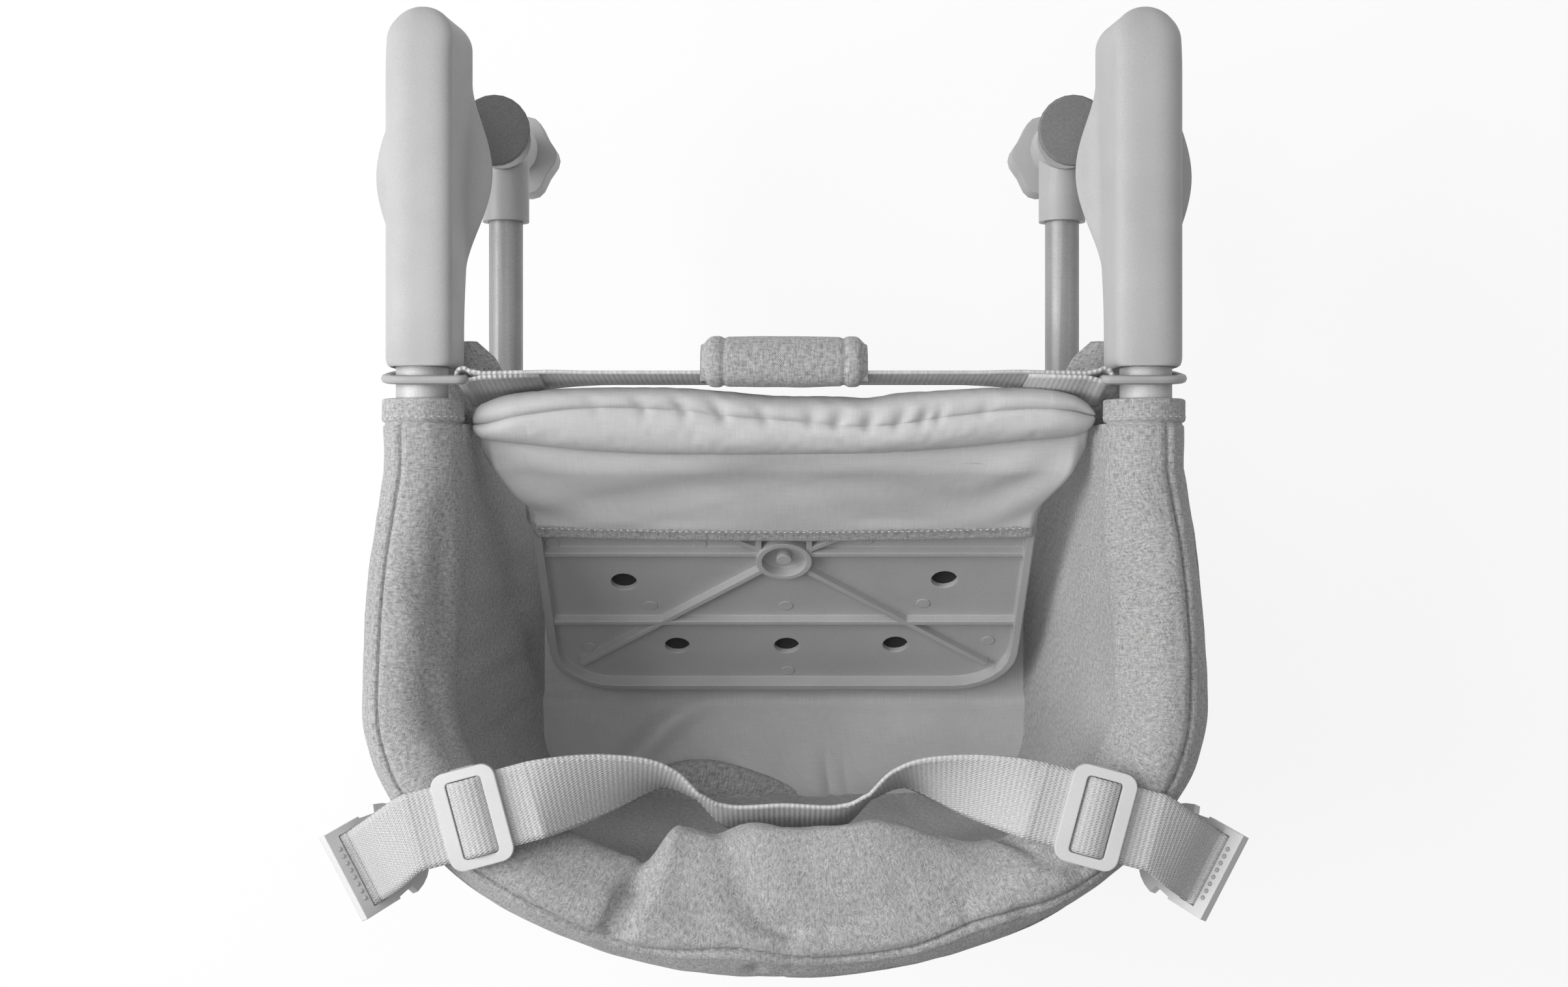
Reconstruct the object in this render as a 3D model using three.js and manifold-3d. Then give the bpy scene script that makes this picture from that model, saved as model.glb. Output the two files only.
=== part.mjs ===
import * as THREE from "three";
import { mergeVertices } from "three/addons/utils/BufferGeometryUtils.js";
import Module from "manifold-3d";

const wasm = await Module();
wasm.setup();

// Millimetres. +Y runs in over the table, +Z is up, the table edge is y 0 and the table top is z 0.
const fitGap = 0.3;
const runningGap = 0.4;

// Upper frame: one tube bent to a U
const tubeDiameter = 25;
const tubeWall = 1.6;
const tubeAxisHeight = 27;
const armHalfSpacing = 173.6;
const tubeReach = 126;
const flareStart = 66;
const bendStart = 175;
const flareWidth = 10.4;
const bendHalfWidth = armHalfSpacing + flareWidth;
const bendDepth = 290;

// Moulded arm grips that lie on the table top
const gripTip = 157;
const gripRear = -14.5;
const gripHalfWidth = 16.5;
const gripHeight = 44;
const gripNoseHeight = 27;
const gripNoseLength = 34;
const gripLip = 1.5;
const gripLipLength = 5;
const gripBase = 1;
const wingThickness = 3;
const wingInner = 10.4;
const wingOuter = 10.4;
const wingStart = 34;
const wingEnd = 124;
const soleInset = 4;
const soleDepth = 2.4;

// Lower arms, hinged under the rear of each upper arm
const armDiameter = 18;
const armWall = 1.5;
const armInset = 26.6;
const armHalfDistance = armHalfSpacing - armInset;
const armAxisDrop = 72;
const pivotBehindEdge = 22;
const clampReach = 108;
const barrelRadius = 10.5;
const barrelWidth = 18.4;
const pinRadius = 4;
const pinHeadRadius = 6.5;
const pinHeadThickness = 2.2;

// Saddle bracket on the upper tube that carries the pivot
const bracketBack = 58;
const bracketFront = 38;
const saddleRadius = 15.9;
const saddleTopRise = 6;
const cheekThickness = 4.5;
const cheekTop = 18;
const cheekBossRadius = 11;
const webReach = 3;
const webHeight = 5;

// Clamp screw at the end of each lower arm
const tableThickness = 28;
const padRadius = 18;
const padThickness = 7;
const padSocketDepth = 4;
const spindleRadius = 6;
const spindleNeckRadius = 4;
const spindleNeckLength = 6;
const nutRadius = 15;
const nutHeight = 28;
const socketWall = 3;
const socketLength = 26;
const knobRadius = 23;
const knobLobes = 6;
const knobLobeDepth = 2.6;
const knobHeight = 20;
const knobDrop = 106;
const knobSocketDepth = 13;

// Front strap, its two rings and the crotch pad
const webbingThickness = 1.6;
const webbingWidth = 37;
const strapMiddleY = -20;
const strapMiddleZ = 20;
const strapLean = 0.12;
const sewnLength = 32;
const ringBar = 4.4;
const ringInnerSpan = 34.2;
const ringOuterGap = 2.5;
const ringInnerHeight = 39;
const padHalfWidth = 40;
const padFront = -1.5;
const padTop = 43;
const padFoot = -9;
const padRearFoot = 12;
const padFlap = 5;
const padRearLayer = 1.8;

// Fabric sleeve on the upper tube, and the bucket that hangs from it
const sleeveInner = 16.8;
const sleeveWall = 2.2;
const sleeveFront = 31;
const panelThickness = 2.5;
const panelTop = 26;
const panelFrontTop = 47.5;
const panelFrontFoot = 88;
const footInset = 37.6;
const footHalfWidth = armHalfSpacing - footInset;
const footBack = 246;
const footCorner = 36;
const footDepth = 150;
const bottomFront = 104;
const panelSplit = 0.343;
const flapReach = 29.8;
const flapThickness = 18;
const flapTail = 3;
const flapWave = 1.4;
const flapMiddleZ = 24;
const rollBack = 56.5;
const rollFront = 23.9;
const rollMiddleZ = 16;
const rollHeight = 24;
const coverThickness = 2;
const coverFront = 1;
const coverBack = 46;
const coverReach = 18.5;
const coverFoot = 12;
const coverTip = 6;
const coverBend = 30;
const coverCorner = 17.5;
const coverZ = -5.6;

// Folding seat base: a ribbed board in a fabric pocket, hinged at its rear edge
const baseAngle = 49;
const hingeY = -182;
const hingeRise = 7;
const hingeZ = hingeRise - footDepth;
const hingeBead = 2.5;
const weltWidth = 5;
const boardStart = 5;
const boardEnd = 194.8;
const boardSideGap = 8.4;
const boardHalfWidth = footHalfWidth - boardSideGap;
const boardCorner = 34;
const boardPlate = 3;
const rimWidth = 4;
const rimHeight = 9.6;
const ribWidth = 3;
const ribHeight = 7.6;
const ribRows = [63.4, 121.4];
const bossAt = 117.2;
const bossRadius = 14.5;
const bossWall = 3;
const bossHeight = 9;
const bossPinRadius = 4;
const bossPinHeight = 7.6;
const braceFoot = { x: boardHalfWidth - 16.1, s: 25.6 };
const braceHead = { x: boardHalfWidth - 23.6, s: 180 };
const sideHoleInset = 43.1;
const boardHoles = [
  { x: sideHoleInset - boardHalfWidth, s: 93.5 },
  { x: boardHalfWidth - sideHoleInset, s: 95.5 },
  { x: -58.5, s: 37.5 },
  { x: 1.5, s: 37.5 },
  { x: 61, s: 38.5 },
];
const boardHoleRadius = 7;
const pocketHem = 146;
const pocketWall = 2.3;

// Harness: one webbing with a slider and a buckle at each side
const sliderInset = 27.6;
const sliderX = armHalfSpacing - sliderInset;
const bendAtSlider = bendStart + (bendDepth - bendStart) * Math.sqrt(1 - (sliderX / bendHalfWidth) ** 2);
const sliderTuck = 17;
const sliderY = sliderTuck - bendAtSlider;
const sliderAt = { x: sliderX, y: sliderY, z: 47 };
const harnessSag = 3;
const harnessLow = { x: 34, y: sliderY - harnessSag, z: 8 };
const sliderTurn = 15;
const sliderWidth = 46.8;
const sliderLength = 30.6;
const sliderBar = 6.65;
const sliderPost = 5.6;
const sliderCorner = 6.4;
const windowCorner = 2;
const sliderSide = 4.85;
const sliderThickness = 3.2;
const sliderRun = 30;
const sliderEase = 5;
const harnessOverhang = 18;
const harnessTrail = 28;
const harnessEnd = { x: bendHalfWidth + harnessOverhang, y: sliderY - harnessTrail, z: 22 };
const harnessDip = 9.6;
const harnessCrest = 4.5;
const buckleBar = 4.4;
const buckleLength = 36;
const buckleEdge = 11;
const buckleThickness = 4.6;
const buckleDrop = 50;

const sleeveOuter = sleeveInner + sleeveWall;
const tubeRadius = tubeDiameter / 2;
const sleeveAxisHeight = tubeAxisHeight + tubeRadius + fitGap - sleeveInner;

// Closed surface of a list of equal rings, with a fan over each end
function loft(rings) {
  const count = rings[0].length;
  const positions = [];
  const index = [];
  for (const ring of rings) {
    for (const p of ring) positions.push(p.x, p.y, p.z);
  }
  for (let i = 0; i + 1 < rings.length; i++) {
    for (let k = 0; k < count; k++) {
      const a = i * count + k;
      const b = i * count + ((k + 1) % count);
      index.push(a, b, b + count, a, b + count, a + count);
    }
  }
  const ends = [
    [0, true],
    [rings.length - 1, false],
  ];
  for (const [ringIndex, first] of ends) {
    const ring = rings[ringIndex];
    const centre = new THREE.Vector3();
    for (const p of ring) centre.addScaledVector(p, 1 / count);
    const hub = positions.length / 3;
    positions.push(centre.x, centre.y, centre.z);
    for (let k = 0; k < count; k++) {
      const a = ringIndex * count + k;
      const b = ringIndex * count + ((k + 1) % count);
      if (first) index.push(b, a, hub);
      else index.push(a, b, hub);
    }
  }
  const geometry = new THREE.BufferGeometry();
  geometry.setAttribute("position", new THREE.Float32BufferAttribute(positions, 3));
  geometry.setIndex(index);
  return geometry;
}

// Solid of a geometry, turned so that its faces point out
function solid(geometry) {
  const bare = new THREE.BufferGeometry();
  const flat = geometry.index ? geometry.toNonIndexed() : geometry;
  bare.setAttribute("position", flat.getAttribute("position"));
  const merged = mergeVertices(bare, 1e-4);
  const points = merged.getAttribute("position");
  const triangles = new Uint32Array(merged.index.array);
  const a = new THREE.Vector3();
  const b = new THREE.Vector3();
  const c = new THREE.Vector3();
  let volume = 0;
  for (let i = 0; i < triangles.length; i += 3) {
    a.fromBufferAttribute(points, triangles[i]);
    b.fromBufferAttribute(points, triangles[i + 1]);
    c.fromBufferAttribute(points, triangles[i + 2]);
    volume += a.dot(b.cross(c));
  }
  if (volume < 0) {
    for (let i = 0; i < triangles.length; i += 3) {
      const swap = triangles[i + 1];
      triangles[i + 1] = triangles[i + 2];
      triangles[i + 2] = swap;
    }
  }
  return new wasm.Manifold(
    new wasm.Mesh({
      numProp: 3,
      vertProperties: points.array,
      triVerts: triangles,
    }),
  );
}

// Geometry of a solid, mirrored to the other side where asked
function geometryOf(body, mirrored) {
  const mesh = body.getMesh();
  const positions = new Float32Array(mesh.numVert * 3);
  for (let i = 0; i < mesh.numVert; i++) {
    const side = mirrored ? -1 : 1;
    positions[i * 3] = side * mesh.vertProperties[i * mesh.numProp];
    positions[i * 3 + 1] = mesh.vertProperties[i * mesh.numProp + 1];
    positions[i * 3 + 2] = mesh.vertProperties[i * mesh.numProp + 2];
  }
  const triangles = new Uint32Array(mesh.triVerts);
  if (mirrored) {
    for (let i = 0; i < triangles.length; i += 3) {
      const swap = triangles[i + 1];
      triangles[i + 1] = triangles[i + 2];
      triangles[i + 2] = swap;
    }
  }
  const geometry = new THREE.BufferGeometry();
  geometry.setAttribute("position", new THREE.BufferAttribute(positions, 3));
  geometry.setIndex(new THREE.BufferAttribute(triangles, 1));
  const flat = geometry.toNonIndexed();
  flat.computeVertexNormals();
  return flat;
}

function block(x0, x1, y0, y1, z0, z1) {
  const geometry = new THREE.BoxGeometry(x1 - x0, y1 - y0, z1 - z0);
  geometry.translate((x0 + x1) / 2, (y0 + y1) / 2, (z0 + z1) / 2);
  return geometry;
}

// Round bar between two points
function bar(from, to, radius, sides) {
  const along = new THREE.Vector3().subVectors(to, from);
  const geometry = new THREE.CylinderGeometry(radius, radius, along.length(), sides);
  const up = new THREE.Vector3(0, 1, 0);
  const turn = new THREE.Quaternion().setFromUnitVectors(up, along.clone().normalize());
  geometry.applyQuaternion(turn);
  const middle = from.clone().add(to).multiplyScalar(0.5);
  geometry.translate(middle.x, middle.y, middle.z);
  return geometry;
}

// Outline in the x y plane drawn up between two heights
function prism(shape, z0, z1, curveSegments) {
  const geometry = new THREE.ExtrudeGeometry(shape, {
    depth: z1 - z0,
    bevelEnabled: false,
    curveSegments,
  });
  geometry.translate(0, 0, z0);
  return geometry;
}

// Sheet of even thickness over a grid of points
function sheet(pointAt, columns, rows, thickness) {
  const grid = [];
  for (let i = 0; i <= columns; i++) {
    for (let j = 0; j <= rows; j++) grid.push(pointAt(i / columns, j / rows));
  }
  const at = (i, j) => grid[i * (rows + 1) + j];
  const positions = [];
  const index = [];
  for (const side of [0.5, -0.5]) {
    for (let i = 0; i <= columns; i++) {
      for (let j = 0; j <= rows; j++) {
        const du = new THREE.Vector3().subVectors(
          at(Math.min(i + 1, columns), j),
          at(Math.max(i - 1, 0), j),
        );
        const dv = new THREE.Vector3().subVectors(
          at(i, Math.min(j + 1, rows)),
          at(i, Math.max(j - 1, 0)),
        );
        const normal = du.cross(dv).normalize();
        const p = at(i, j).clone().addScaledVector(normal, side * thickness);
        positions.push(p.x, p.y, p.z);
      }
    }
  }
  const half = (columns + 1) * (rows + 1);
  const id = (i, j) => i * (rows + 1) + j;
  const quad = (a, b, c, d) => index.push(a, b, c, a, c, d);
  for (let i = 0; i < columns; i++) {
    for (let j = 0; j < rows; j++) {
      quad(id(i, j), id(i + 1, j), id(i + 1, j + 1), id(i, j + 1));
      quad(half + id(i, j), half + id(i, j + 1), half + id(i + 1, j + 1), half + id(i + 1, j));
    }
  }
  for (let i = 0; i < columns; i++) {
    quad(id(i, 0), half + id(i, 0), half + id(i + 1, 0), id(i + 1, 0));
    quad(id(i + 1, rows), half + id(i + 1, rows), half + id(i, rows), id(i, rows));
  }
  for (let j = 0; j < rows; j++) {
    quad(id(0, j + 1), half + id(0, j + 1), half + id(0, j), id(0, j));
    quad(id(columns, j), half + id(columns, j), half + id(columns, j + 1), id(columns, j + 1));
  }
  const geometry = new THREE.BufferGeometry();
  geometry.setAttribute("position", new THREE.Float32BufferAttribute(positions, 3));
  geometry.setIndex(index);
  return geometry;
}

// Half width of the U at a distance behind the table edge
function tubeHalfWidth(behind) {
  if (behind <= flareStart) return armHalfSpacing;
  if (behind <= bendStart) {
    const share = (behind - flareStart) / (bendStart - flareStart);
    return armHalfSpacing + (bendHalfWidth - armHalfSpacing) * Math.sin((share * Math.PI) / 2);
  }
  const share = Math.min(1, (behind - bendStart) / (bendDepth - bendStart));
  return bendHalfWidth * Math.sqrt(1 - share * share);
}

// Centreline of the U at one height, from one front end round to the other
function framePath(frontY, z) {
  const side = [];
  side.push(new THREE.Vector3(armHalfSpacing, frontY, z));
  if (frontY > gripRear) {
    side.push(new THREE.Vector3(armHalfSpacing, (frontY + gripRear) / 2, z));
    side.push(new THREE.Vector3(armHalfSpacing, gripRear, z));
  }
  side.push(new THREE.Vector3(armHalfSpacing, -bracketFront, z));
  side.push(new THREE.Vector3(armHalfSpacing, -bracketBack, z));
  for (let i = 0; i <= 5; i++) {
    const behind = flareStart + ((bendStart - flareStart) * i) / 5;
    side.push(new THREE.Vector3(tubeHalfWidth(behind), -behind, z));
  }
  for (let i = 1; i < 7; i++) {
    const angle = (i / 7) * (Math.PI / 2);
    const y = -bendStart - (bendDepth - bendStart) * Math.sin(angle);
    side.push(new THREE.Vector3(bendHalfWidth * Math.cos(angle), y, z));
  }
  const back = new THREE.Vector3(0, -bendDepth, z);
  const other = side.map((p) => new THREE.Vector3(-p.x, p.y, p.z)).reverse();
  return new THREE.CatmullRomCurve3([...side, back, ...other], false, "centripetal");
}

// Hollow round section drawn along a path
function pipe(path, outer, inner, steps, sides) {
  const shape = new THREE.Shape();
  shape.absarc(0, 0, outer, 0, Math.PI * 2, false);
  const bore = new THREE.Path();
  bore.absarc(0, 0, inner, 0, Math.PI * 2, true);
  shape.holes.push(bore);
  return new THREE.ExtrudeGeometry(shape, { steps, extrudePath: path, curveSegments: sides / 2 });
}

const v = (x, y, z) => new THREE.Vector3(x, y, z);

const finishes = {
  paint: new THREE.MeshStandardMaterial({ color: 0x8d8d8d, metalness: 0.6, roughness: 0.4 }),
  steel: new THREE.MeshStandardMaterial({ color: 0x7d7f82, metalness: 0.9, roughness: 0.35 }),
  grip: new THREE.MeshStandardMaterial({ color: 0xb9b9b9, roughness: 0.7 }),
  rubber: new THREE.MeshStandardMaterial({ color: 0x4a4a4a, roughness: 0.9 }),
  board: new THREE.MeshStandardMaterial({ color: 0x8a8a8a, roughness: 0.5 }),
  plastic: new THREE.MeshStandardMaterial({ color: 0xa9a9a9, roughness: 0.5 }),
  white: new THREE.MeshStandardMaterial({ color: 0xe6e6e6, roughness: 0.5 }),
  canvas: new THREE.MeshStandardMaterial({ color: 0x9a9a9a, roughness: 0.95 }),
  lining: new THREE.MeshStandardMaterial({ color: 0xc4c4c4, roughness: 0.8 }),
  webbing: new THREE.MeshStandardMaterial({ color: 0xcfcfcf, roughness: 0.9 }),
};

const chair = new THREE.Group();
chair.name = "hook_on_table_chair";

function addNode(name, body, finish, mirrored = false) {
  const mesh = new THREE.Mesh(geometryOf(body, mirrored), finishes[finish]);
  mesh.name = name;
  chair.add(mesh);
}

function addPair(name, body, finish) {
  addNode(`${name}_right`, body, finish);
  addNode(`${name}_left`, body, finish, true);
}

// Upper frame tube
const upperPath = framePath(tubeReach, tubeAxisHeight);
addNode("upper_frame_tube", solid(pipe(upperPath, tubeRadius, tubeRadius - tubeWall, 52, 12)), "paint");

// Half widths of the grip to the inner and outer side, and its height, at a station
function gripStation(y) {
  const noseCentre = gripTip - gripHalfWidth;
  let half = gripHalfWidth;
  if (y > noseCentre) half = Math.sqrt(Math.max(0, gripHalfWidth ** 2 - (y - noseCentre) ** 2));
  const lipShare = Math.max(0, 1 - (y - gripRear) / gripLipLength);
  half += gripLip * Math.sin((lipShare * Math.PI) / 2);
  const leaf = Math.min(1, Math.max(0, (y - wingStart) / (wingEnd - wingStart)));
  const wing = Math.sin(leaf * Math.PI) ** 1.6;
  const noseShare = Math.max(0, (y - (gripTip - gripNoseLength)) / gripNoseLength);
  const drop = (gripHeight - gripNoseHeight) * (1 - Math.sqrt(Math.max(0, 1 - noseShare ** 2)));
  return { half, inner: half + wingInner * wing, outer: half + wingOuter * wing, top: gripHeight - drop };
}

function gripRing(y) {
  const { half, inner, outer, top } = gripStation(y);
  const shoulder = top - half * 0.92;
  const ring = [];
  const flank = (reach, side) => [
    v(armHalfSpacing + side * reach, y, gripBase),
    v(armHalfSpacing + side * reach, y, gripBase + wingThickness),
    v(armHalfSpacing + side * (half + (reach - half) * 0.42), y, gripBase + wingThickness + 1.6),
    v(armHalfSpacing + side * (half + (reach - half) * 0.12), y, gripBase + wingThickness + 5),
    v(armHalfSpacing + side * half, y, Math.min(gripBase + wingThickness + 10, shoulder - 1)),
  ];
  ring.push(...flank(outer, 1));
  for (let i = 0; i <= 8; i++) {
    const angle = (i / 8) * Math.PI;
    ring.push(v(armHalfSpacing + half * Math.cos(angle), y, shoulder + (top - shoulder) * Math.sin(angle)));
  }
  ring.push(...flank(inner, -1).reverse());
  return ring;
}

const gripStations = [];
for (let i = 0; i < 3; i++) gripStations.push(gripRear + (gripLipLength * i) / 2);
for (let i = 1; i <= 14; i++) {
  const from = gripRear + gripLipLength;
  gripStations.push(from + ((gripTip - gripHalfWidth - from) * i) / 14);
}
for (let i = 1; i <= 5; i++) {
  gripStations.push(gripTip - gripHalfWidth + gripHalfWidth * Math.sin((i / 5.25) * (Math.PI / 2)));
}

// Outline of the grip's underside, drawn in by an inset
function soleShape(inset) {
  const shape = new THREE.Shape();
  const outerEdge = [];
  const innerEdge = [];
  const from = gripRear + gripLipLength + inset;
  const to = gripTip - inset;
  for (let i = 0; i <= 18; i++) {
    const y = from + ((to - from) * i) / 18;
    const station = gripStation(Math.min(y, gripTip - 0.2));
    const intoNose = Math.max(0, y - (gripTip - gripHalfWidth));
    const noseCut = Math.sqrt(Math.max(0, (gripHalfWidth - inset) ** 2 - intoNose ** 2));
    const limit = y > gripTip - gripHalfWidth ? noseCut : Infinity;
    const outerReach = Math.max(1, Math.min(station.outer - inset, limit));
    const innerReach = Math.max(1, Math.min(station.inner - inset, limit));
    outerEdge.push(new THREE.Vector2(armHalfSpacing + outerReach, y));
    innerEdge.push(new THREE.Vector2(armHalfSpacing - innerReach, y));
  }
  shape.setFromPoints([...outerEdge, ...innerEdge.reverse()]);
  return shape;
}

const gripBore = bar(
  v(armHalfSpacing, gripRear - 1, tubeAxisHeight),
  v(armHalfSpacing, tubeReach + fitGap, tubeAxisHeight),
  tubeRadius + fitGap,
  16,
);
const soleSeat = prism(soleShape(soleInset - fitGap), gripBase - 2, soleDepth + fitGap, 4);
const grip = solid(loft(gripStations.map(gripRing))).subtract(solid(gripBore)).subtract(solid(soleSeat));
addPair("arm_grip", grip, "grip");
addPair("grip_sole", solid(prism(soleShape(soleInset), 0, soleDepth, 4)), "rubber");

// Saddle bracket: a cradle under the tube with one cheek that reaches down to the pivot
const pivotY = -pivotBehindEdge;
const pivotZ = -armAxisDrop;
const cheekInner = armHalfDistance + barrelWidth / 2 + fitGap + 1;
const cradleBar = bar(
  v(armHalfSpacing, -bracketBack, sleeveAxisHeight),
  v(armHalfSpacing, -bracketFront, sleeveAxisHeight),
  saddleRadius,
  20,
);
const cradleBore = bar(
  v(armHalfSpacing, -bracketBack - 1, tubeAxisHeight),
  v(armHalfSpacing, -bracketFront + 1, tubeAxisHeight),
  tubeRadius + fitGap,
  20,
);
const cradleMouth = block(
  armHalfSpacing - saddleRadius - 1,
  armHalfSpacing + saddleRadius + 1,
  -bracketBack - 1,
  -bracketFront + 1,
  tubeAxisHeight + saddleTopRise,
  tubeAxisHeight + saddleTopRise + saddleRadius,
);
const cheekWeb = block(
  cheekInner,
  Math.max(cheekInner + cheekThickness, armHalfSpacing - saddleRadius + webReach),
  -bracketBack,
  -bracketFront,
  cheekTop - webHeight,
  cheekTop,
);
const cheekShape = new THREE.Shape();
cheekShape.moveTo(-bracketBack, cheekTop);
cheekShape.lineTo(-bracketFront, cheekTop);
cheekShape.lineTo(-bracketFront, 2);
cheekShape.quadraticCurveTo(-bracketFront + 4, pivotZ + 34, pivotY + cheekBossRadius, pivotZ);
cheekShape.absarc(pivotY, pivotZ, cheekBossRadius, 0, -Math.PI, true);
cheekShape.quadraticCurveTo(-bracketBack + 8, pivotZ + 30, -bracketBack, 2);
cheekShape.lineTo(-bracketBack, cheekTop);
const cheekGeometry = prism(cheekShape, 0, cheekThickness, 6);
cheekGeometry.applyMatrix4(
  new THREE.Matrix4().makeBasis(v(0, 1, 0), v(0, 0, 1), v(1, 0, 0)).setPosition(cheekInner, 0, 0),
);
const pinHole = bar(
  v(armHalfDistance - barrelWidth, pivotY, pivotZ),
  v(cheekInner + 2 * cheekThickness, pivotY, pivotZ),
  pinRadius + fitGap,
  16,
);
const bracket = solid(cradleBar)
  .subtract(solid(cradleMouth))
  .add(solid(cheekGeometry))
  .add(solid(cheekWeb))
  .subtract(solid(cradleBore))
  .subtract(solid(pinHole));
addPair("pivot_bracket", bracket, "steel");

const pinInner = armHalfDistance - barrelWidth / 2 - fitGap;
const pinOuter = cheekInner + cheekThickness + fitGap;
function pinHead(x) {
  return solid(bar(v(x, pivotY, pivotZ), v(x + pinHeadThickness, pivotY, pivotZ), pinHeadRadius, 16));
}
const pin = solid(bar(v(pinInner - 0.5, pivotY, pivotZ), v(pinOuter + 0.5, pivotY, pivotZ), pinRadius, 16))
  .add(pinHead(pinInner - pinHeadThickness))
  .add(pinHead(pinOuter));
addPair("pivot_pin", pin, "steel");

// Lower arm: a tube with an eye at its rear end
const armRadius = armDiameter / 2;
const clampY = clampReach;
const armEnd = clampY - nutRadius + 2;
const armRoot = v(armHalfDistance, pivotY, pivotZ);
const armMouth = v(armHalfDistance, armEnd, pivotZ);
const boreRoot = v(armHalfDistance, pivotY + barrelRadius, pivotZ);
const boreMouth = v(armHalfDistance, armEnd + 1, pivotZ);
const armTube = solid(bar(armRoot, armMouth, armRadius, 16)).subtract(
  solid(bar(boreRoot, boreMouth, armRadius - armWall, 12)),
);
const eye = solid(
  bar(
    v(armHalfDistance - barrelWidth / 2, pivotY, pivotZ),
    v(armHalfDistance + barrelWidth / 2, pivotY, pivotZ),
    barrelRadius,
    20,
  ),
);
addPair("lower_arm", armTube.add(eye).subtract(solid(pinHole)), "paint");

// Nut block: an upright barrel with a socket for the arm
const nutTop = pivotZ + nutHeight / 2;
const nutBottom = pivotZ - nutHeight / 2;
const nutFoot = v(armHalfDistance, clampY, nutBottom);
const nutHead = v(armHalfDistance, clampY, nutTop);
const nut = solid(bar(nutFoot, nutHead, nutRadius, 24))
  .add(
    solid(
      bar(
        v(armHalfDistance, clampY - nutRadius - socketLength, pivotZ),
        v(armHalfDistance, clampY, pivotZ),
        armRadius + fitGap + socketWall,
        20,
      ),
    ),
  )
  .subtract(
    solid(
      bar(
        v(armHalfDistance, clampY - nutRadius - socketLength - 1, pivotZ),
        v(armHalfDistance, armEnd + fitGap, pivotZ),
        armRadius + fitGap,
        16,
      ),
    ),
  )
  .subtract(
    solid(
      bar(
        v(armHalfDistance, clampY, nutBottom - 1),
        v(armHalfDistance, clampY, nutTop + 1),
        spindleRadius + fitGap,
        16,
      ),
    ),
  );
addPair("clamp_nut", nut, "grip");

// Swivel pad under the table, spindle and twist knob
const padTopZ = -tableThickness;
const padFootZ = padTopZ - padThickness;
const neckTop = padFootZ + padSocketDepth - fitGap;
const padProfile = [
  new THREE.Vector2(spindleNeckRadius + fitGap, padFootZ),
  new THREE.Vector2(padRadius * 0.62, padFootZ),
  new THREE.Vector2(padRadius, padFootZ + padThickness * 0.55),
  new THREE.Vector2(padRadius, padTopZ - 0.8),
  new THREE.Vector2(padRadius - 0.8, padTopZ),
  new THREE.Vector2(0, padTopZ),
  new THREE.Vector2(0, padFootZ + padSocketDepth),
  new THREE.Vector2(spindleNeckRadius + fitGap, padFootZ + padSocketDepth),
  new THREE.Vector2(spindleNeckRadius + fitGap, padFootZ),
];

// Closed profile of radius and height turned about the clamp's upright axis
function turned(profile, sides) {
  const geometry = new THREE.LatheGeometry(profile, sides);
  geometry.rotateX(Math.PI / 2);
  geometry.translate(armHalfDistance, clampY, 0);
  return geometry;
}
addPair("clamp_pad", solid(turned(padProfile, 24)), "rubber");

const knobTopZ = -knobDrop;
const spindleFoot = knobTopZ - knobSocketDepth + fitGap;
const spindleShoulder = padFootZ - fitGap - (spindleNeckLength - padSocketDepth);
const spindleProfile = [
  new THREE.Vector2(0, spindleFoot),
  new THREE.Vector2(spindleRadius, spindleFoot),
  new THREE.Vector2(spindleRadius, spindleShoulder - 1.2),
  new THREE.Vector2(spindleNeckRadius, spindleShoulder),
  new THREE.Vector2(spindleNeckRadius, neckTop),
  new THREE.Vector2(0, neckTop),
  new THREE.Vector2(0, spindleFoot),
];
addPair("clamp_spindle", solid(turned(spindleProfile, 16)), "steel");

const knobShape = new THREE.Shape();
const knobPoints = [];
for (let i = 0; i < knobLobes * 6; i++) {
  const angle = (i / (knobLobes * 6)) * Math.PI * 2;
  const radius = knobRadius - knobLobeDepth * (0.5 - 0.5 * Math.cos(angle * knobLobes));
  const knobX = armHalfDistance + radius * Math.cos(angle);
  const knobY = clampY + radius * Math.sin(angle);
  knobPoints.push(new THREE.Vector2(knobX, knobY));
}
knobShape.setFromPoints(knobPoints);
const knobSeat = bar(
  v(armHalfDistance, clampY, knobTopZ - knobSocketDepth),
  v(armHalfDistance, clampY, knobTopZ + 20),
  spindleRadius + fitGap,
  16,
);
const knobHub = bar(
  v(armHalfDistance, clampY, knobTopZ - 2),
  v(armHalfDistance, clampY, knobTopZ + 6),
  spindleRadius + fitGap + 4,
  20,
);
const knob = solid(prism(knobShape, knobTopZ - knobHeight, knobTopZ, 1))
  .add(solid(knobHub))
  .subtract(solid(knobSeat));
addPair("clamp_knob", knob, "grip");

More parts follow.
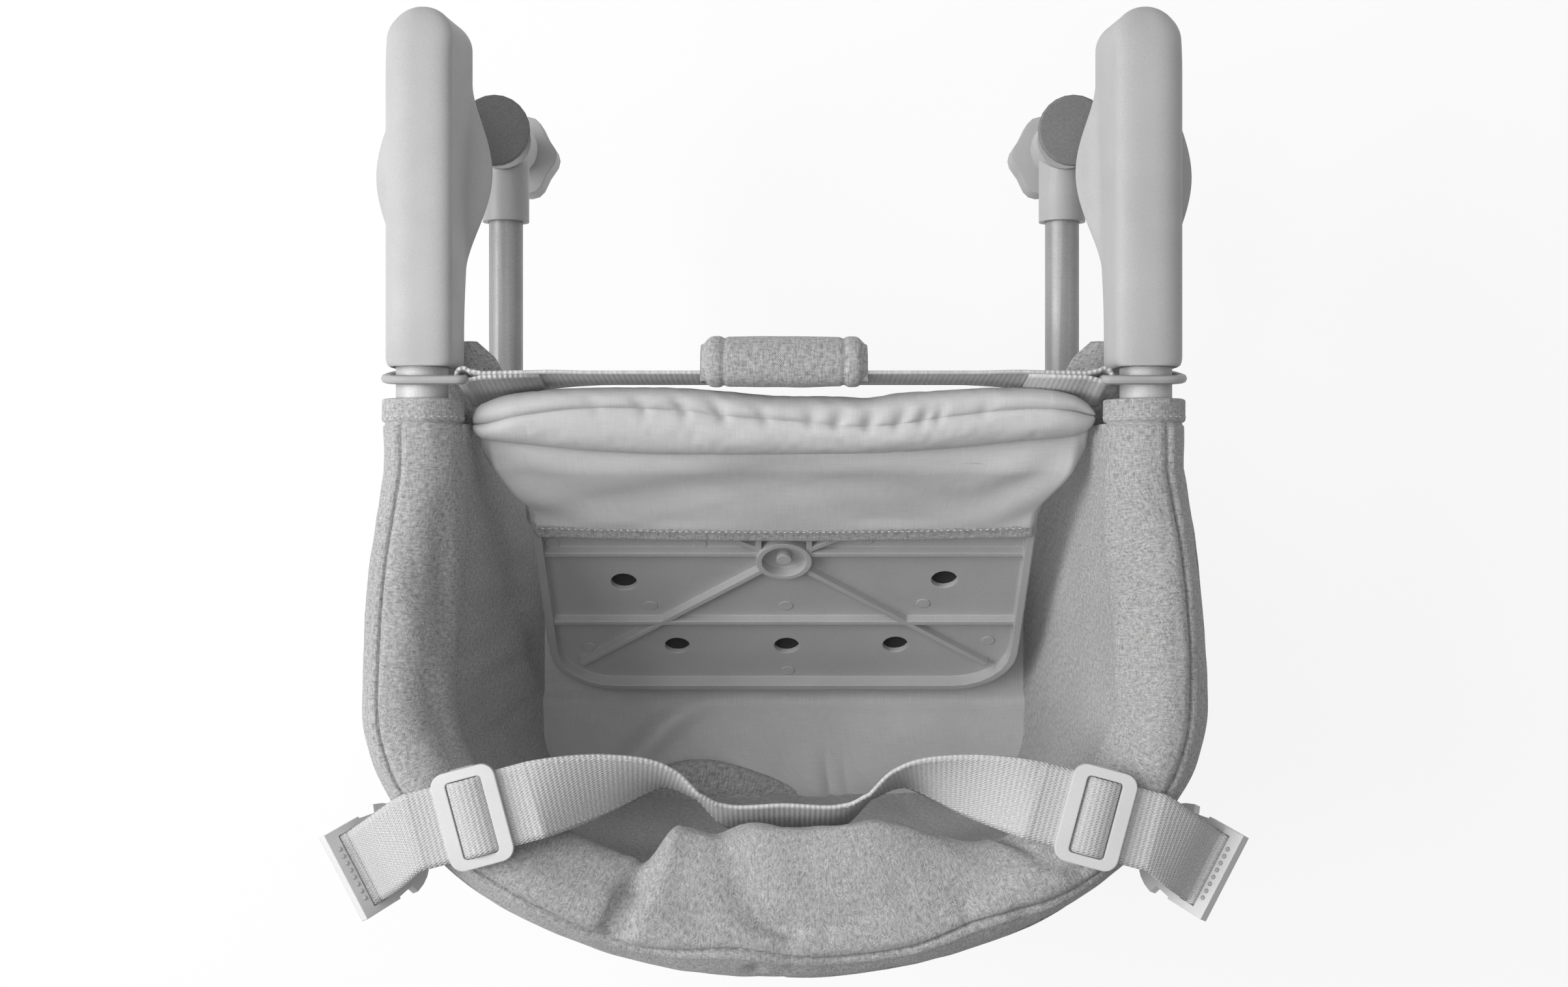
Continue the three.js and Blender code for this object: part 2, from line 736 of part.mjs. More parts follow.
// Strap rings: one straight bar for the webbing, rounded out round the tube
const lean = (p) => v(p.x, p.y - strapLean * (p.z - strapMiddleZ), p.z);
const ringTopZ = tubeAxisHeight + tubeRadius + fitGap + ringBar / 2;
const ringFootZ = ringTopZ - ringInnerHeight - ringBar;
const ringOuterX = armHalfSpacing + tubeRadius + ringOuterGap + ringBar / 2;
const ringInnerX = ringOuterX - ringInnerSpan - ringBar;
const ringPath = [];
const ringCorner = 2.6;
const ringRound = 13;
const ringCorners = [
  { x: ringInnerX, z: ringFootZ, r: ringCorner, from: Math.PI, to: Math.PI * 1.5, sx: 1, sz: 1 },
  { x: ringOuterX, z: ringFootZ, r: ringRound, from: Math.PI * 1.5, to: Math.PI * 2, sx: -1, sz: 1 },
  { x: ringOuterX, z: ringTopZ, r: ringRound, from: 0, to: Math.PI / 2, sx: -1, sz: -1 },
  { x: ringInnerX, z: ringTopZ, r: ringCorner, from: Math.PI / 2, to: Math.PI, sx: 1, sz: -1 },
];
for (const corner of ringCorners) {
  for (let i = 0; i <= 4; i++) {
    const angle = corner.from + ((corner.to - corner.from) * i) / 4;
    const x = corner.x + corner.sx * corner.r + corner.r * Math.cos(angle);
    const z = corner.z + corner.sz * corner.r + corner.r * Math.sin(angle);
    ringPath.push(lean(v(x, strapMiddleY, z)));
  }
}

// Closed loop of round section through a list of points
function loop(points, radius, sides) {
  const count = points.length;
  const positions = [];
  const index = [];
  for (let i = 0; i < count; i++) {
    const before = points[(i + count - 1) % count];
    const after = points[(i + 1) % count];
    const tangent = after.clone().sub(before).normalize();
    const side = v(0, 1, 0).addScaledVector(tangent, -tangent.y).normalize();
    const up = tangent.clone().cross(side);
    for (let k = 0; k < sides; k++) {
      const angle = (k / sides) * Math.PI * 2;
      const p = points[i].clone();
      p.addScaledVector(side, radius * Math.cos(angle));
      p.addScaledVector(up, radius * Math.sin(angle));
      positions.push(p.x, p.y, p.z);
    }
  }
  for (let i = 0; i < count; i++) {
    const next = (i + 1) % count;
    for (let k = 0; k < sides; k++) {
      const turn = (k + 1) % sides;
      index.push(i * sides + k, i * sides + turn, next * sides + turn);
      index.push(i * sides + k, next * sides + turn, next * sides + k);
    }
  }
  const geometry = new THREE.BufferGeometry();
  geometry.setAttribute("position", new THREE.Float32BufferAttribute(positions, 3));
  geometry.setIndex(index);
  return geometry;
}
addPair("strap_ring", solid(loop(ringPath, ringBar / 2, 8)), "plastic");

// Front strap: webbing on edge, sewn double behind each ring
const loopInner = ringBar / 2 + runningGap;
const loopOuter = loopInner + webbingThickness;
const sewnHalf = webbingThickness;
const sewnFrom = ringInnerX - loopOuter - sewnLength;
const strapRight = [
  new THREE.Vector2(sewnFrom, webbingThickness / 2),
  new THREE.Vector2(sewnFrom + 1.5, sewnHalf),
  new THREE.Vector2(ringInnerX - loopOuter - 3, sewnHalf),
];
for (let i = 0; i <= 10; i++) {
  const angle = Math.PI - 0.6 - ((Math.PI * 2 - 1.2) * i) / 10;
  strapRight.push(new THREE.Vector2(ringInnerX + loopOuter * Math.cos(angle), loopOuter * Math.sin(angle)));
}
strapRight.push(new THREE.Vector2(ringInnerX - loopOuter - 3, -sewnHalf));
strapRight.push(new THREE.Vector2(sewnFrom + 1.5, -sewnHalf));
strapRight.push(new THREE.Vector2(sewnFrom, -webbingThickness / 2));
const strapLeft = strapRight.map((p) => new THREE.Vector2(-p.x, p.y)).reverse();
const strapShape = new THREE.Shape([...strapRight, ...strapLeft].reverse());
for (const side of [1, -1]) {
  const eyelet = new THREE.Path();
  eyelet.absarc(side * ringInnerX, 0, loopInner, 0, Math.PI * 2, true);
  strapShape.holes.push(eyelet);
}
const strapFootZ = ringFootZ + ringBar / 2 + (ringInnerHeight - webbingWidth) / 2;
const frontStrap = prism(strapShape, strapFootZ, strapFootZ + webbingWidth, 10);
const strapPoints = frontStrap.getAttribute("position");
for (let i = 0; i < strapPoints.count; i++) {
  const shift = strapMiddleY - strapLean * (strapPoints.getZ(i) - strapMiddleZ);
  strapPoints.setY(i, strapPoints.getY(i) + shift);
}
addNode("front_strap", solid(frontStrap), "webbing");

// Crotch pad: a padded saddle over the strap, with a short rear layer
const strapY = (z) => strapMiddleY - strapLean * (z - strapMiddleZ);
const strapTopZ = strapFootZ + webbingWidth;
const slotHalf = webbingThickness / 2 + runningGap;
const padSection = (bulge) => {
  const rear = (z) => strapY(z) - slotHalf - padRearLayer;
  const outer = [
    v(0, padFront - padFlap - 0.5, padFoot),
    v(0, padFront - 1.5, padFoot + 1),
    v(0, padFront + bulge, padFoot + 16),
    v(0, padFront + bulge, padTop - 17),
    v(0, padFront - 2, padTop - 7),
    v(0, padFront - 7, padTop - 1.6),
    v(0, padFront - 12, padTop),
    v(0, strapY(strapTopZ) - 1, padTop - 0.4),
    v(0, rear(strapTopZ), strapTopZ + 0.6),
    v(0, rear(padRearFoot + 12), padRearFoot + 12),
    v(0, rear(padRearFoot), padRearFoot),
  ];
  const inner = [
    v(0, strapY(padRearFoot) - slotHalf, padRearFoot),
    v(0, strapY(strapTopZ) - slotHalf, strapTopZ + runningGap),
    v(0, strapY(strapTopZ) + slotHalf, strapTopZ + runningGap),
    v(0, padFront - padFlap - 6.5, padTop - 11),
    v(0, padFront - padFlap - 2, padTop - 20),
    v(0, padFront - padFlap - 1, padFoot + 10),
  ];
  return [...outer, ...inner];
};
const padRows = [-1, -0.93, -0.8, -0.4, 0, 0.4, 0.8, 0.93, 1];
const padPositions = [];
const padIndex = [];
const padLoops = padRows.map((share) => {
  const edge = Math.abs(share) > 0.9 ? -1 : 1.2 * (1 - share * share);
  return padSection(edge).map((p) => v(share * padHalfWidth, p.y, p.z));
});
const padCount = padLoops[0].length;
for (const ring of padLoops) {
  for (const p of ring) padPositions.push(p.x, p.y, p.z);
}
for (let i = 0; i + 1 < padLoops.length; i++) {
  for (let k = 0; k < padCount; k++) {
    const a = i * padCount + k;
    const b = i * padCount + ((k + 1) % padCount);
    padIndex.push(a, b, b + padCount, a, b + padCount, a + padCount);
  }
}
const padFaces = THREE.ShapeUtils.triangulateShape(
  padLoops[0].map((p) => new THREE.Vector2(p.y, p.z)),
  [],
);
const padLast = (padLoops.length - 1) * padCount;
for (const [a, b, c] of padFaces) {
  padIndex.push(a, c, b);
  padIndex.push(padLast + a, padLast + b, padLast + c);
}
const crotchPad = new THREE.BufferGeometry();
crotchPad.setAttribute("position", new THREE.Float32BufferAttribute(padPositions, 3));
crotchPad.setIndex(padIndex);
addNode("crotch_pad", solid(crotchPad), "canvas");

// Front roll: a padded lens sewn between the two sleeve ends
const rollTip = 0.3;
const rollTipRise = sleeveAxisHeight - rollMiddleZ - (rollTip * rollHeight) / 2;
const rollEnd = armHalfSpacing - Math.sqrt(sleeveOuter ** 2 - rollTipRise ** 2) - fitGap;
const rollMiddleY = -(rollFront + rollBack) / 2;
const rollHalfDepth = (rollBack - rollFront) / 2;
const rollRings = [];
for (let i = 0; i <= 20; i++) {
  const share = Math.sin((i / 20 - 0.5) * Math.PI);
  const taper = Math.max(rollTip, (1 - Math.abs(share) ** 3.2) ** 0.33);
  const ring = [];
  for (let k = 0; k < 16; k++) {
    const angle = (k / 16) * Math.PI * 2;
    const seam = 1 - 0.1 * Math.exp(-(((angle - Math.PI / 2) / 0.3) ** 2));
    ring.push(
      v(
        rollEnd * share,
        rollMiddleY + rollHalfDepth * taper * Math.cos(angle),
        rollMiddleZ + (rollHeight / 2) * taper * seam * Math.sin(angle),
      ),
    );
  }
  rollRings.push(ring);
}
addNode("front_roll", solid(loft(rollRings)), "lining");

// Sleeve round the tube, slotted where the bracket cheeks come through
const sleevePath = framePath(-sleeveFront, sleeveAxisHeight);
let sleeve = solid(pipe(sleevePath, sleeveOuter, sleeveInner, 34, 16));
for (const side of [1, -1]) {
  const near = side * (cheekInner - 2 * fitGap);
  const far = side * (cheekInner + cheekThickness + 2 * fitGap);
  const slot = block(
    Math.min(near, far),
    Math.max(near, far),
    -bracketBack - 3 * fitGap,
    -bracketFront + 8 * fitGap,
    sleeveAxisHeight - sleeveOuter - 1,
    cheekTop + 2 * fitGap,
  );
  sleeve = sleeve.subtract(solid(slot));
}
addNode("top_sleeve", sleeve, "canvas");

// Walls of the bucket: their top follows the sleeve, their foot a rounded rectangle
const wallOffset = sleeveOuter + fitGap + panelThickness / 2;
const topLine = [];
const topSteps = 60;
for (let i = 0; i <= topSteps; i++) {
  let behind = 0;
  let x = 0;
  let nx = -1;
  let ny = 0;
  if (i <= topSteps / 3) {
    behind = panelFrontTop + ((bendStart - panelFrontTop) * i) / (topSteps / 3);
    x = tubeHalfWidth(behind);
  } else {
    const angle = ((i - topSteps / 3) / ((topSteps * 2) / 3)) * (Math.PI / 2);
    behind = bendStart + (bendDepth - bendStart) * Math.sin(angle);
    x = bendHalfWidth * Math.cos(angle);
    nx = -Math.cos(angle) * (bendDepth - bendStart);
    ny = Math.sin(angle) * bendHalfWidth;
    const size = Math.hypot(nx, ny);
    nx /= size;
    ny /= size;
  }
  topLine.push(new THREE.Vector2(x + nx * wallOffset, -behind + ny * wallOffset));
}
const footLine = [new THREE.Vector2(footHalfWidth, -panelFrontFoot)];
footLine.push(new THREE.Vector2(footHalfWidth, -(footBack - footCorner)));
for (let i = 1; i <= 8; i++) {
  const angle = (i / 8) * (Math.PI / 2);
  footLine.push(
    new THREE.Vector2(
      footHalfWidth - footCorner + footCorner * Math.cos(angle),
      -(footBack - footCorner) - footCorner * Math.sin(angle),
    ),
  );
}
footLine.push(new THREE.Vector2(0, -footBack));

// Point of a line of points at a share of its length
function along(line, share) {
  const lengths = [0];
  for (let i = 1; i < line.length; i++) lengths.push(lengths[i - 1] + line[i].distanceTo(line[i - 1]));
  const target = share * lengths[lengths.length - 1];
  let i = 1;
  while (i < line.length - 1 && lengths[i] < target) i++;
  const local = (target - lengths[i - 1]) / (lengths[i] - lengths[i - 1]);
  return line[i - 1].clone().lerp(line[i], Math.min(1, Math.max(0, local)));
}

// Wall point: t runs from the left front, minus one, by the back, zero, to the right front, one
function wallPoint(t, drop) {
  const share = 1 - Math.abs(t);
  const top = along(topLine, share);
  const foot = along(footLine, share);
  const ease = drop ** 0.8;
  const side = t < 0 ? -1 : 1;
  const x = top.x + (foot.x - top.x) * ease;
  const y = top.y + (foot.y - top.y) * ease;
  return v(side * x, y, panelTop + (-footDepth - panelTop) * drop);
}
const splitGap = 0.0015;
const sidePanel = sheet((a, b) => wallPoint(1 - a * (1 - panelSplit - splitGap), b), 12, 6, panelThickness);
addPair("side_panel", solid(sidePanel), "canvas");
const backPanel = sheet((a, b) => wallPoint(panelSplit * (2 * a - 1), b), 20, 6, panelThickness);
addNode("back_panel", solid(backPanel), "canvas");

// Bottom panel, from the foot of the back to the front, with a welt under the base's hinge
const bottomHalf = footHalfWidth - panelThickness / 2 - 2 * runningGap;
const bottomBack = footBack - panelThickness / 2 - runningGap - 0.4;
const bottomCorner = footCorner + 4;
const bottomPanel = sheet(
  (a, b) => {
    const behind = bottomFront + (bottomBack - bottomFront) * b;
    const into = Math.max(0, behind - (bottomBack - bottomCorner));
    const half = bottomHalf - bottomCorner + Math.sqrt(Math.max(4, bottomCorner ** 2 - into ** 2));
    return v(half * (2 * a - 1), -behind, panelThickness / 2 - footDepth);
  },
  8,
  9,
  panelThickness,
);
const hingeWelt = block(
  -boardHalfWidth,
  boardHalfWidth,
  hingeY - weltWidth / 2,
  hingeY + weltWidth / 2,
  panelThickness / 2 - footDepth,
  hingeZ - hingeBead - runningGap,
);
addNode("bottom_panel", solid(bottomPanel).add(solid(hingeWelt)), "lining");

// Back flap: the slack top of the back, folded inwards along the wall
const flapRings = [];
const flapHalf = 0.285;
for (let i = 0; i <= 24; i++) {
  const share = (i / 24) * 2 - 1;
  const t = 0.0285 + flapHalf * share;
  const at = wallPoint(t, 0);
  const ahead = wallPoint(t + 0.01, 0).sub(wallPoint(t - 0.01, 0));
  const inward = v(-ahead.y, ahead.x, 0).normalize();
  const swell = (1 - share ** 4) ** 0.6 * (1 - 0.12 * Math.cos(share * 9) ** 2);
  const reach = flapTail + (flapReach - flapTail) * swell;
  const lift = flapWave * Math.sin(share * 11);
  const ring = [];
  for (let k = 0; k < 12; k++) {
    const angle = (k / 12) * Math.PI * 2;
    const out = panelThickness / 2 + 2 * runningGap + (reach / 2) * (1 - Math.cos(angle));
    const high = (flapThickness / 2) * (0.55 + 0.45 * (1 - share ** 4)) * Math.sin(angle);
    ring.push(v(at.x + inward.x * out, at.y + inward.y * out, flapMiddleZ + high + lift));
  }
  flapRings.push(ring);
}
addNode("back_flap", solid(loft(flapRings)), "canvas");

// Fabric covers beside the pivots
const coverOuter = cheekInner - runningGap;
const coverShape = new THREE.Shape();
coverShape.moveTo(coverOuter, -coverFront);
coverShape.lineTo(coverOuter, -coverBack);
coverShape.lineTo(coverOuter - coverFoot, -coverBack);
coverShape.lineTo(coverOuter - coverReach, -coverBend);
coverShape.lineTo(coverOuter - coverReach, -coverCorner);
coverShape.lineTo(coverOuter - coverTip, -coverFront);
const coverUnder = coverZ - coverThickness / 2;
addPair("hinge_cover", solid(prism(coverShape, coverUnder, coverUnder + coverThickness, 2)), "canvas");

// Seat base, drawn flat along its length s and raised to its angle about the hinge
const baseTurn = new THREE.Matrix4()
  .makeTranslation(0, hingeY, hingeZ)
  .multiply(new THREE.Matrix4().makeRotationX(THREE.MathUtils.degToRad(baseAngle)));

function raised(geometry) {
  geometry.applyMatrix4(baseTurn);
  return solid(geometry);
}

function roundedBoard(inset) {
  const half = boardHalfWidth - inset;
  const from = boardStart + inset;
  const to = boardEnd - inset;
  const radius = boardCorner - inset;
  const shape = new THREE.Shape();
  shape.moveTo(-half + radius, from);
  shape.lineTo(half - radius, from);
  shape.absarc(half - radius, from + radius, radius, -Math.PI / 2, 0, false);
  shape.lineTo(half, to - radius);
  shape.absarc(half - radius, to - radius, radius, 0, Math.PI / 2, false);
  shape.lineTo(-half + radius, to);
  shape.absarc(-half + radius, to - radius, radius, Math.PI / 2, Math.PI, false);
  shape.lineTo(-half, from + radius);
  shape.absarc(-half + radius, from + radius, radius, Math.PI, Math.PI * 1.5, false);
  return shape;
}

// Straight rib on the board between two points
function rib(fromX, fromS, toX, toS, height) {
  const length = Math.hypot(toX - fromX, toS - fromS);
  const geometry = new THREE.BoxGeometry(length, ribWidth, height);
  geometry.rotateZ(Math.atan2(toS - fromS, toX - fromX));
  geometry.translate((fromX + toX) / 2, (fromS + toS) / 2, height / 2);
  return raised(geometry);
}

const rimShape = roundedBoard(0);
rimShape.holes.push(new THREE.Path(roundedBoard(rimWidth).getPoints(3).reverse()));
const plate = raised(prism(roundedBoard(0.01), 0, boardPlate, 3));
let board = plate.add(raised(prism(rimShape, 0, rimHeight, 3)));
const ribSpan = boardHalfWidth - rimWidth / 2;
for (const row of ribRows) board = board.add(rib(-ribSpan, row, ribSpan, row, ribHeight));
for (const side of [1, -1]) {
  board = board.add(rib(0, bossAt, side * braceFoot.x, braceFoot.s, ribHeight));
  board = board.add(rib(0, bossAt, side * braceHead.x, braceHead.s, ribHeight));
  const flank = side * (bossRadius - bossWall / 2);
  board = board.add(rib(flank, bossAt, flank, boardEnd - rimWidth / 2, ribHeight));
}
board = board
  .add(raised(bar(v(0, bossAt, 0), v(0, bossAt, bossHeight), bossRadius, 24)))
  .subtract(raised(bar(v(0, bossAt, boardPlate), v(0, bossAt, bossHeight + 1), bossRadius - bossWall, 24)))
  .add(raised(bar(v(0, bossAt, 1), v(0, bossAt, bossPinHeight), bossPinRadius, 12)));
for (const hole of boardHoles) {
  const under = v(hole.x, hole.s, -1);
  const over = v(hole.x, hole.s, rimHeight + 1);
  board = board.subtract(raised(bar(under, over, boardHoleRadius, 16)));
}
addNode("seat_board", board, "board");

// Pocket: a sock over the front of the board whose lower layer runs back to the hinge
const pocketHalf = boardHalfWidth + fitGap + pocketWall;
const pocketTip = boardEnd + fitGap + pocketWall;
const pocketTop = rimHeight + fitGap + pocketWall;
const pocketFoot = -fitGap - pocketWall;
let pocket = raised(block(-pocketHalf, pocketHalf, 0, pocketTip, pocketFoot, pocketTop));
pocket = pocket.subtract(
  raised(
    block(
      -boardHalfWidth - fitGap,
      boardHalfWidth + fitGap,
      -20,
      boardEnd + fitGap,
      -fitGap,
      rimHeight + fitGap,
    ),
  ),
);
const openHalf = pocketHalf + 1;
pocket = pocket.subtract(raised(block(-openHalf, openHalf, -20, pocketHem, -fitGap, pocketTop + 1)));
pocket = pocket.add(raised(bar(v(-pocketHalf, 0, 0), v(pocketHalf, 0, 0), hingeBead, 12)));
addNode("base_pocket", pocket, "lining");

// Harness webbing: centre points and width directions from the middle to one end
const sliderAngle = THREE.MathUtils.degToRad(sliderTurn);
const sliderDirection = v(Math.cos(sliderAngle), -Math.sin(sliderAngle), 0);
const sliderAcross = v(-Math.sin(sliderAngle), -Math.cos(sliderAngle), 0);
const sliderCentre = v(sliderAt.x, sliderAt.y, sliderAt.z);
const endPoint = v(harnessEnd.x, harnessEnd.y, harnessEnd.z);
const endAcross = v(-0.46, -0.888, 0);
const beforeSlider = sliderCentre.clone().addScaledVector(sliderDirection, -sliderRun);
const afterSlider = sliderCentre.clone().addScaledVector(sliderDirection, sliderRun);
const flatRun = sliderRun - sliderEase;
const flatStart = sliderCentre.clone().addScaledVector(sliderDirection, -flatRun);
const flatEnd = sliderCentre.clone().addScaledVector(sliderDirection, flatRun);
const lowPoint = v(harnessLow.x, harnessLow.y, harnessLow.z);
const turnPoint = lowPoint.clone().lerp(beforeSlider, 0.4);
turnPoint.z -= harnessDip;
const climbPoint = lowPoint.clone().lerp(beforeSlider, 0.73);
climbPoint.z -= harnessDip;
const crestPoint = afterSlider.clone().lerp(endPoint, 0.5);
crestPoint.z += harnessCrest;
const harnessStations = [
  { at: v(0, harnessLow.y, harnessLow.z), across: v(0, 0.04, -1) },
  { at: lowPoint, across: v(0, -0.1, -1) },
  { at: turnPoint, across: v(0.1, -0.5, -0.82) },
  { at: climbPoint, across: v(-0.12, -0.8, -0.58) },
  { at: beforeSlider, across: sliderAcross },
  { at: flatStart, across: sliderAcross },
  { at: sliderCentre, across: sliderAcross },
  { at: flatEnd, across: sliderAcross },
  { at: afterSlider, across: sliderAcross },
  { at: crestPoint, across: v(-0.4, -0.91, 0) },
  { at: endPoint, across: endAcross },
];
const bothSides = [
  ...harnessStations
    .slice(1)
    .reverse()
    .map((s) => ({ at: v(-s.at.x, s.at.y, s.at.z), across: v(-s.across.x, s.across.y, s.across.z) })),
  ...harnessStations,
];
const harnessCurve = new THREE.CatmullRomCurve3(
  bothSides.map((s) => s.at),
  false,
  "centripetal",
);
const harnessRings = [];
const perSpan = 4;
for (let i = 0; i + 1 < bothSides.length; i++) {
  for (let k = 0; k < perSpan || (k === perSpan && i + 2 === bothSides.length); k++) {
    const share = (i + k / perSpan) / (bothSides.length - 1);
    const centre = harnessCurve.getPoint(share);
    const tangent = harnessCurve.getTangent(share);
    const across = bothSides[i].across.clone().lerp(bothSides[i + 1].across, k / perSpan);
    across.normalize();
    const normal = tangent.clone().cross(across).normalize();
    const corner = (a, b) =>
      centre
        .clone()
        .addScaledVector(across, (a * webbingWidth) / 2)
        .addScaledVector(normal, (b * webbingThickness) / 2);
    harnessRings.push([corner(1, 1), corner(1, -1), corner(-1, -1), corner(-1, 1)]);
  }
}
const bucklePivot = endPoint.clone().add(v(2.6, -1.4, -2.6));
const acrossEnd = endAcross.clone().normalize();
let harness = solid(loft(harnessRings));
for (const side of [1, -1]) {
  const half = acrossEnd.clone().multiplyScalar(webbingWidth / 2);
  const flip = (p) => v(side * p.x, p.y, p.z);
  const from = flip(bucklePivot.clone().add(half));
  const to = flip(bucklePivot.clone().sub(half));
  const longFrom = flip(bucklePivot.clone().addScaledVector(acrossEnd, webbingWidth));
  const longTo = flip(bucklePivot.clone().addScaledVector(acrossEnd, -webbingWidth));
  harness = harness.add(solid(bar(from, to, buckleBar / 2 + runningGap + webbingThickness, 16)));
  harness = harness.subtract(solid(bar(longFrom, longTo, buckleBar / 2 + runningGap, 16)));
}
addNode("harness_strap", harness, "webbing");

// Slider: a frame above the webbing and a centre bar below it
const sliderFrame = new THREE.Matrix4()
  .makeBasis(sliderDirection, sliderAcross, sliderDirection.clone().cross(sliderAcross))
  .setPosition(sliderCentre);
const frameDown = sliderDirection.clone().cross(sliderAcross).z < 0 ? -1 : 1;
const sliderHigh = webbingThickness / 2 + runningGap;
function roundedRectangle(halfX, halfY, radius) {
  const shape = new THREE.Shape();
  shape.moveTo(radius - halfX, -halfY);
  shape.absarc(halfX - radius, radius - halfY, radius, -Math.PI / 2, 0, false);
  shape.absarc(halfX - radius, halfY - radius, radius, 0, Math.PI / 2, false);
  shape.absarc(radius - halfX, halfY - radius, radius, Math.PI / 2, Math.PI, false);
  shape.absarc(radius - halfX, radius - halfY, radius, Math.PI, Math.PI * 1.5, false);
  return shape;
}

function placedSlider(x0, x1, y0, y1, z0, z1) {
  const low = Math.min(frameDown * z0, frameDown * z1);
  const high = Math.max(frameDown * z0, frameDown * z1);
  const geometry = block(x0, x1, y0, y1, low, high);
  geometry.applyMatrix4(sliderFrame);
  return solid(geometry);
}
const halfLength = sliderLength / 2;
const halfSlider = sliderWidth / 2;
const frameShape = roundedRectangle(halfLength, halfSlider, sliderCorner);
const windowShape = roundedRectangle(halfLength - sliderBar, halfSlider - sliderSide, windowCorner);
frameShape.holes.push(new THREE.Path(windowShape.getPoints(4).reverse()));
const frameFrom = Math.min(frameDown * sliderHigh, frameDown * (sliderHigh + sliderThickness));
const frameBody = prism(frameShape, frameFrom, frameFrom + sliderThickness, 4);
frameBody.applyMatrix4(sliderFrame);
const postInner = webbingWidth / 2 + runningGap;
const postHigh = sliderHigh + sliderThickness;
const slider = solid(frameBody)
  .add(placedSlider(-sliderPost, sliderPost, postInner, halfSlider, -postHigh, postHigh))
  .add(placedSlider(-sliderPost, sliderPost, -halfSlider, -postInner, -postHigh, postHigh))
  .add(placedSlider(-sliderPost / 2, sliderPost / 2, -halfSlider, halfSlider, -postHigh, -sliderHigh));
addPair("slider", slider, "white");

// Buckle: hinge bar, toothed end plate and two hooked prongs, hanging from the webbing's end
const buckleOut = acrossEnd.clone().cross(v(0, 0, 1)).normalize();
if (buckleOut.x > 0) buckleOut.negate();
const dropAngle = THREE.MathUtils.degToRad(buckleDrop);
const buckleDown = buckleOut
  .clone()
  .multiplyScalar(Math.cos(dropAngle))
  .add(v(0, 0, -Math.sin(dropAngle)));
const buckleNormal = buckleDown.clone().cross(acrossEnd).normalize();
const buckleFrame = new THREE.Matrix4()
  .makeBasis(buckleDown, acrossEnd, buckleNormal)
  .setPosition(bucklePivot);
function placedBuckle(geometry) {
  geometry.applyMatrix4(buckleFrame);
  return solid(geometry);
}
const buckleHalf = webbingWidth / 2 + 4;
const buckleSlot = buckleBar / 2 + runningGap + webbingThickness + runningGap;
const halfBuckle = buckleThickness / 2;
const frontEdge = 4 - buckleSlot - buckleEdge;
const prongShape = new THREE.Shape();
prongShape.moveTo(buckleSlot, buckleHalf - 9);
prongShape.lineTo(buckleSlot, buckleHalf);
prongShape.lineTo(buckleLength * 0.55, buckleHalf - 2.4);
prongShape.lineTo(buckleLength * 0.6, buckleHalf + 1.6);
prongShape.quadraticCurveTo(buckleLength * 0.9, buckleHalf - 1, buckleLength, buckleHalf - 9);
prongShape.quadraticCurveTo(buckleLength * 0.88, buckleHalf - 9, buckleLength * 0.8, buckleHalf - 6.5);
let buckle = placedBuckle(bar(v(0, -buckleHalf, 0), v(0, buckleHalf, 0), buckleBar / 2, 12));
for (const side of [1, -1]) {
  const inner = side * (webbingWidth / 2 + runningGap);
  const outer = side * buckleHalf;
  const low = Math.min(inner, outer);
  const high = Math.max(inner, outer);
  const cheek = block(-buckleSlot - 1, buckleSlot + 1, low, high, -halfBuckle, halfBuckle);
  buckle = buckle.add(placedBuckle(cheek));
  const prong = prism(prongShape, -halfBuckle, halfBuckle, 4);
  if (side < 0) prong.applyMatrix4(new THREE.Matrix4().makeScale(1, -1, 1));
  buckle = buckle.add(placedBuckle(prong));
}
buckle = buckle
  .add(placedBuckle(block(buckleSlot, buckleSlot + 6, -buckleHalf, buckleHalf, -halfBuckle, halfBuckle)))
  .add(placedBuckle(block(buckleSlot, buckleLength * 0.86, -2.5, 2.5, -halfBuckle * 0.6, halfBuckle * 0.6)))
  .add(placedBuckle(block(frontEdge, -buckleSlot, -buckleHalf, buckleHalf, -halfBuckle, halfBuckle)));
addPair("buckle", buckle, "plastic");

export default chair;
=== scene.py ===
from bisect import bisect_right
from math import atan2, copysign, cos, exp, pi, radians, sin, sqrt, tanh

import bmesh
import bpy
from mathutils import Matrix, Vector, noise


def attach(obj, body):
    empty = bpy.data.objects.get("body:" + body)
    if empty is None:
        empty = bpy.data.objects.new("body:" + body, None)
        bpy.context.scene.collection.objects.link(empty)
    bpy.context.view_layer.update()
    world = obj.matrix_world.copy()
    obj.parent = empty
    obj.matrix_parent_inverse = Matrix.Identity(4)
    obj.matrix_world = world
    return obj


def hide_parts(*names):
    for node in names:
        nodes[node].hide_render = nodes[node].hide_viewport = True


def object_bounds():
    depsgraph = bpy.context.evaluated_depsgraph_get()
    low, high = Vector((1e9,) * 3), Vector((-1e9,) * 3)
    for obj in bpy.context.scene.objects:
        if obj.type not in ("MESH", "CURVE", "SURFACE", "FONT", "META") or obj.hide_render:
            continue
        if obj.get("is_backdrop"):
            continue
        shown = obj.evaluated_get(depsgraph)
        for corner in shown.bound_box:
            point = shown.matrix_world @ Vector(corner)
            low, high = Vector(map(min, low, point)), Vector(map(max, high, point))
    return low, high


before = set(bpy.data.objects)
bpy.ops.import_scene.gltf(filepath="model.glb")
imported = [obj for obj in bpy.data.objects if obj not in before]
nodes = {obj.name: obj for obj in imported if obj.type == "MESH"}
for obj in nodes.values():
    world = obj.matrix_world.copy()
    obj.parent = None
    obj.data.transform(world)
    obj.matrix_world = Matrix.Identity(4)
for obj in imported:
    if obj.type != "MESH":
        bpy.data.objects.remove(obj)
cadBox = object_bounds()
scene = bpy.context.scene
mm = 0.001
bothSides = (("Right", 1), ("Left", -1))
print("frame loaded")


# shared helpers

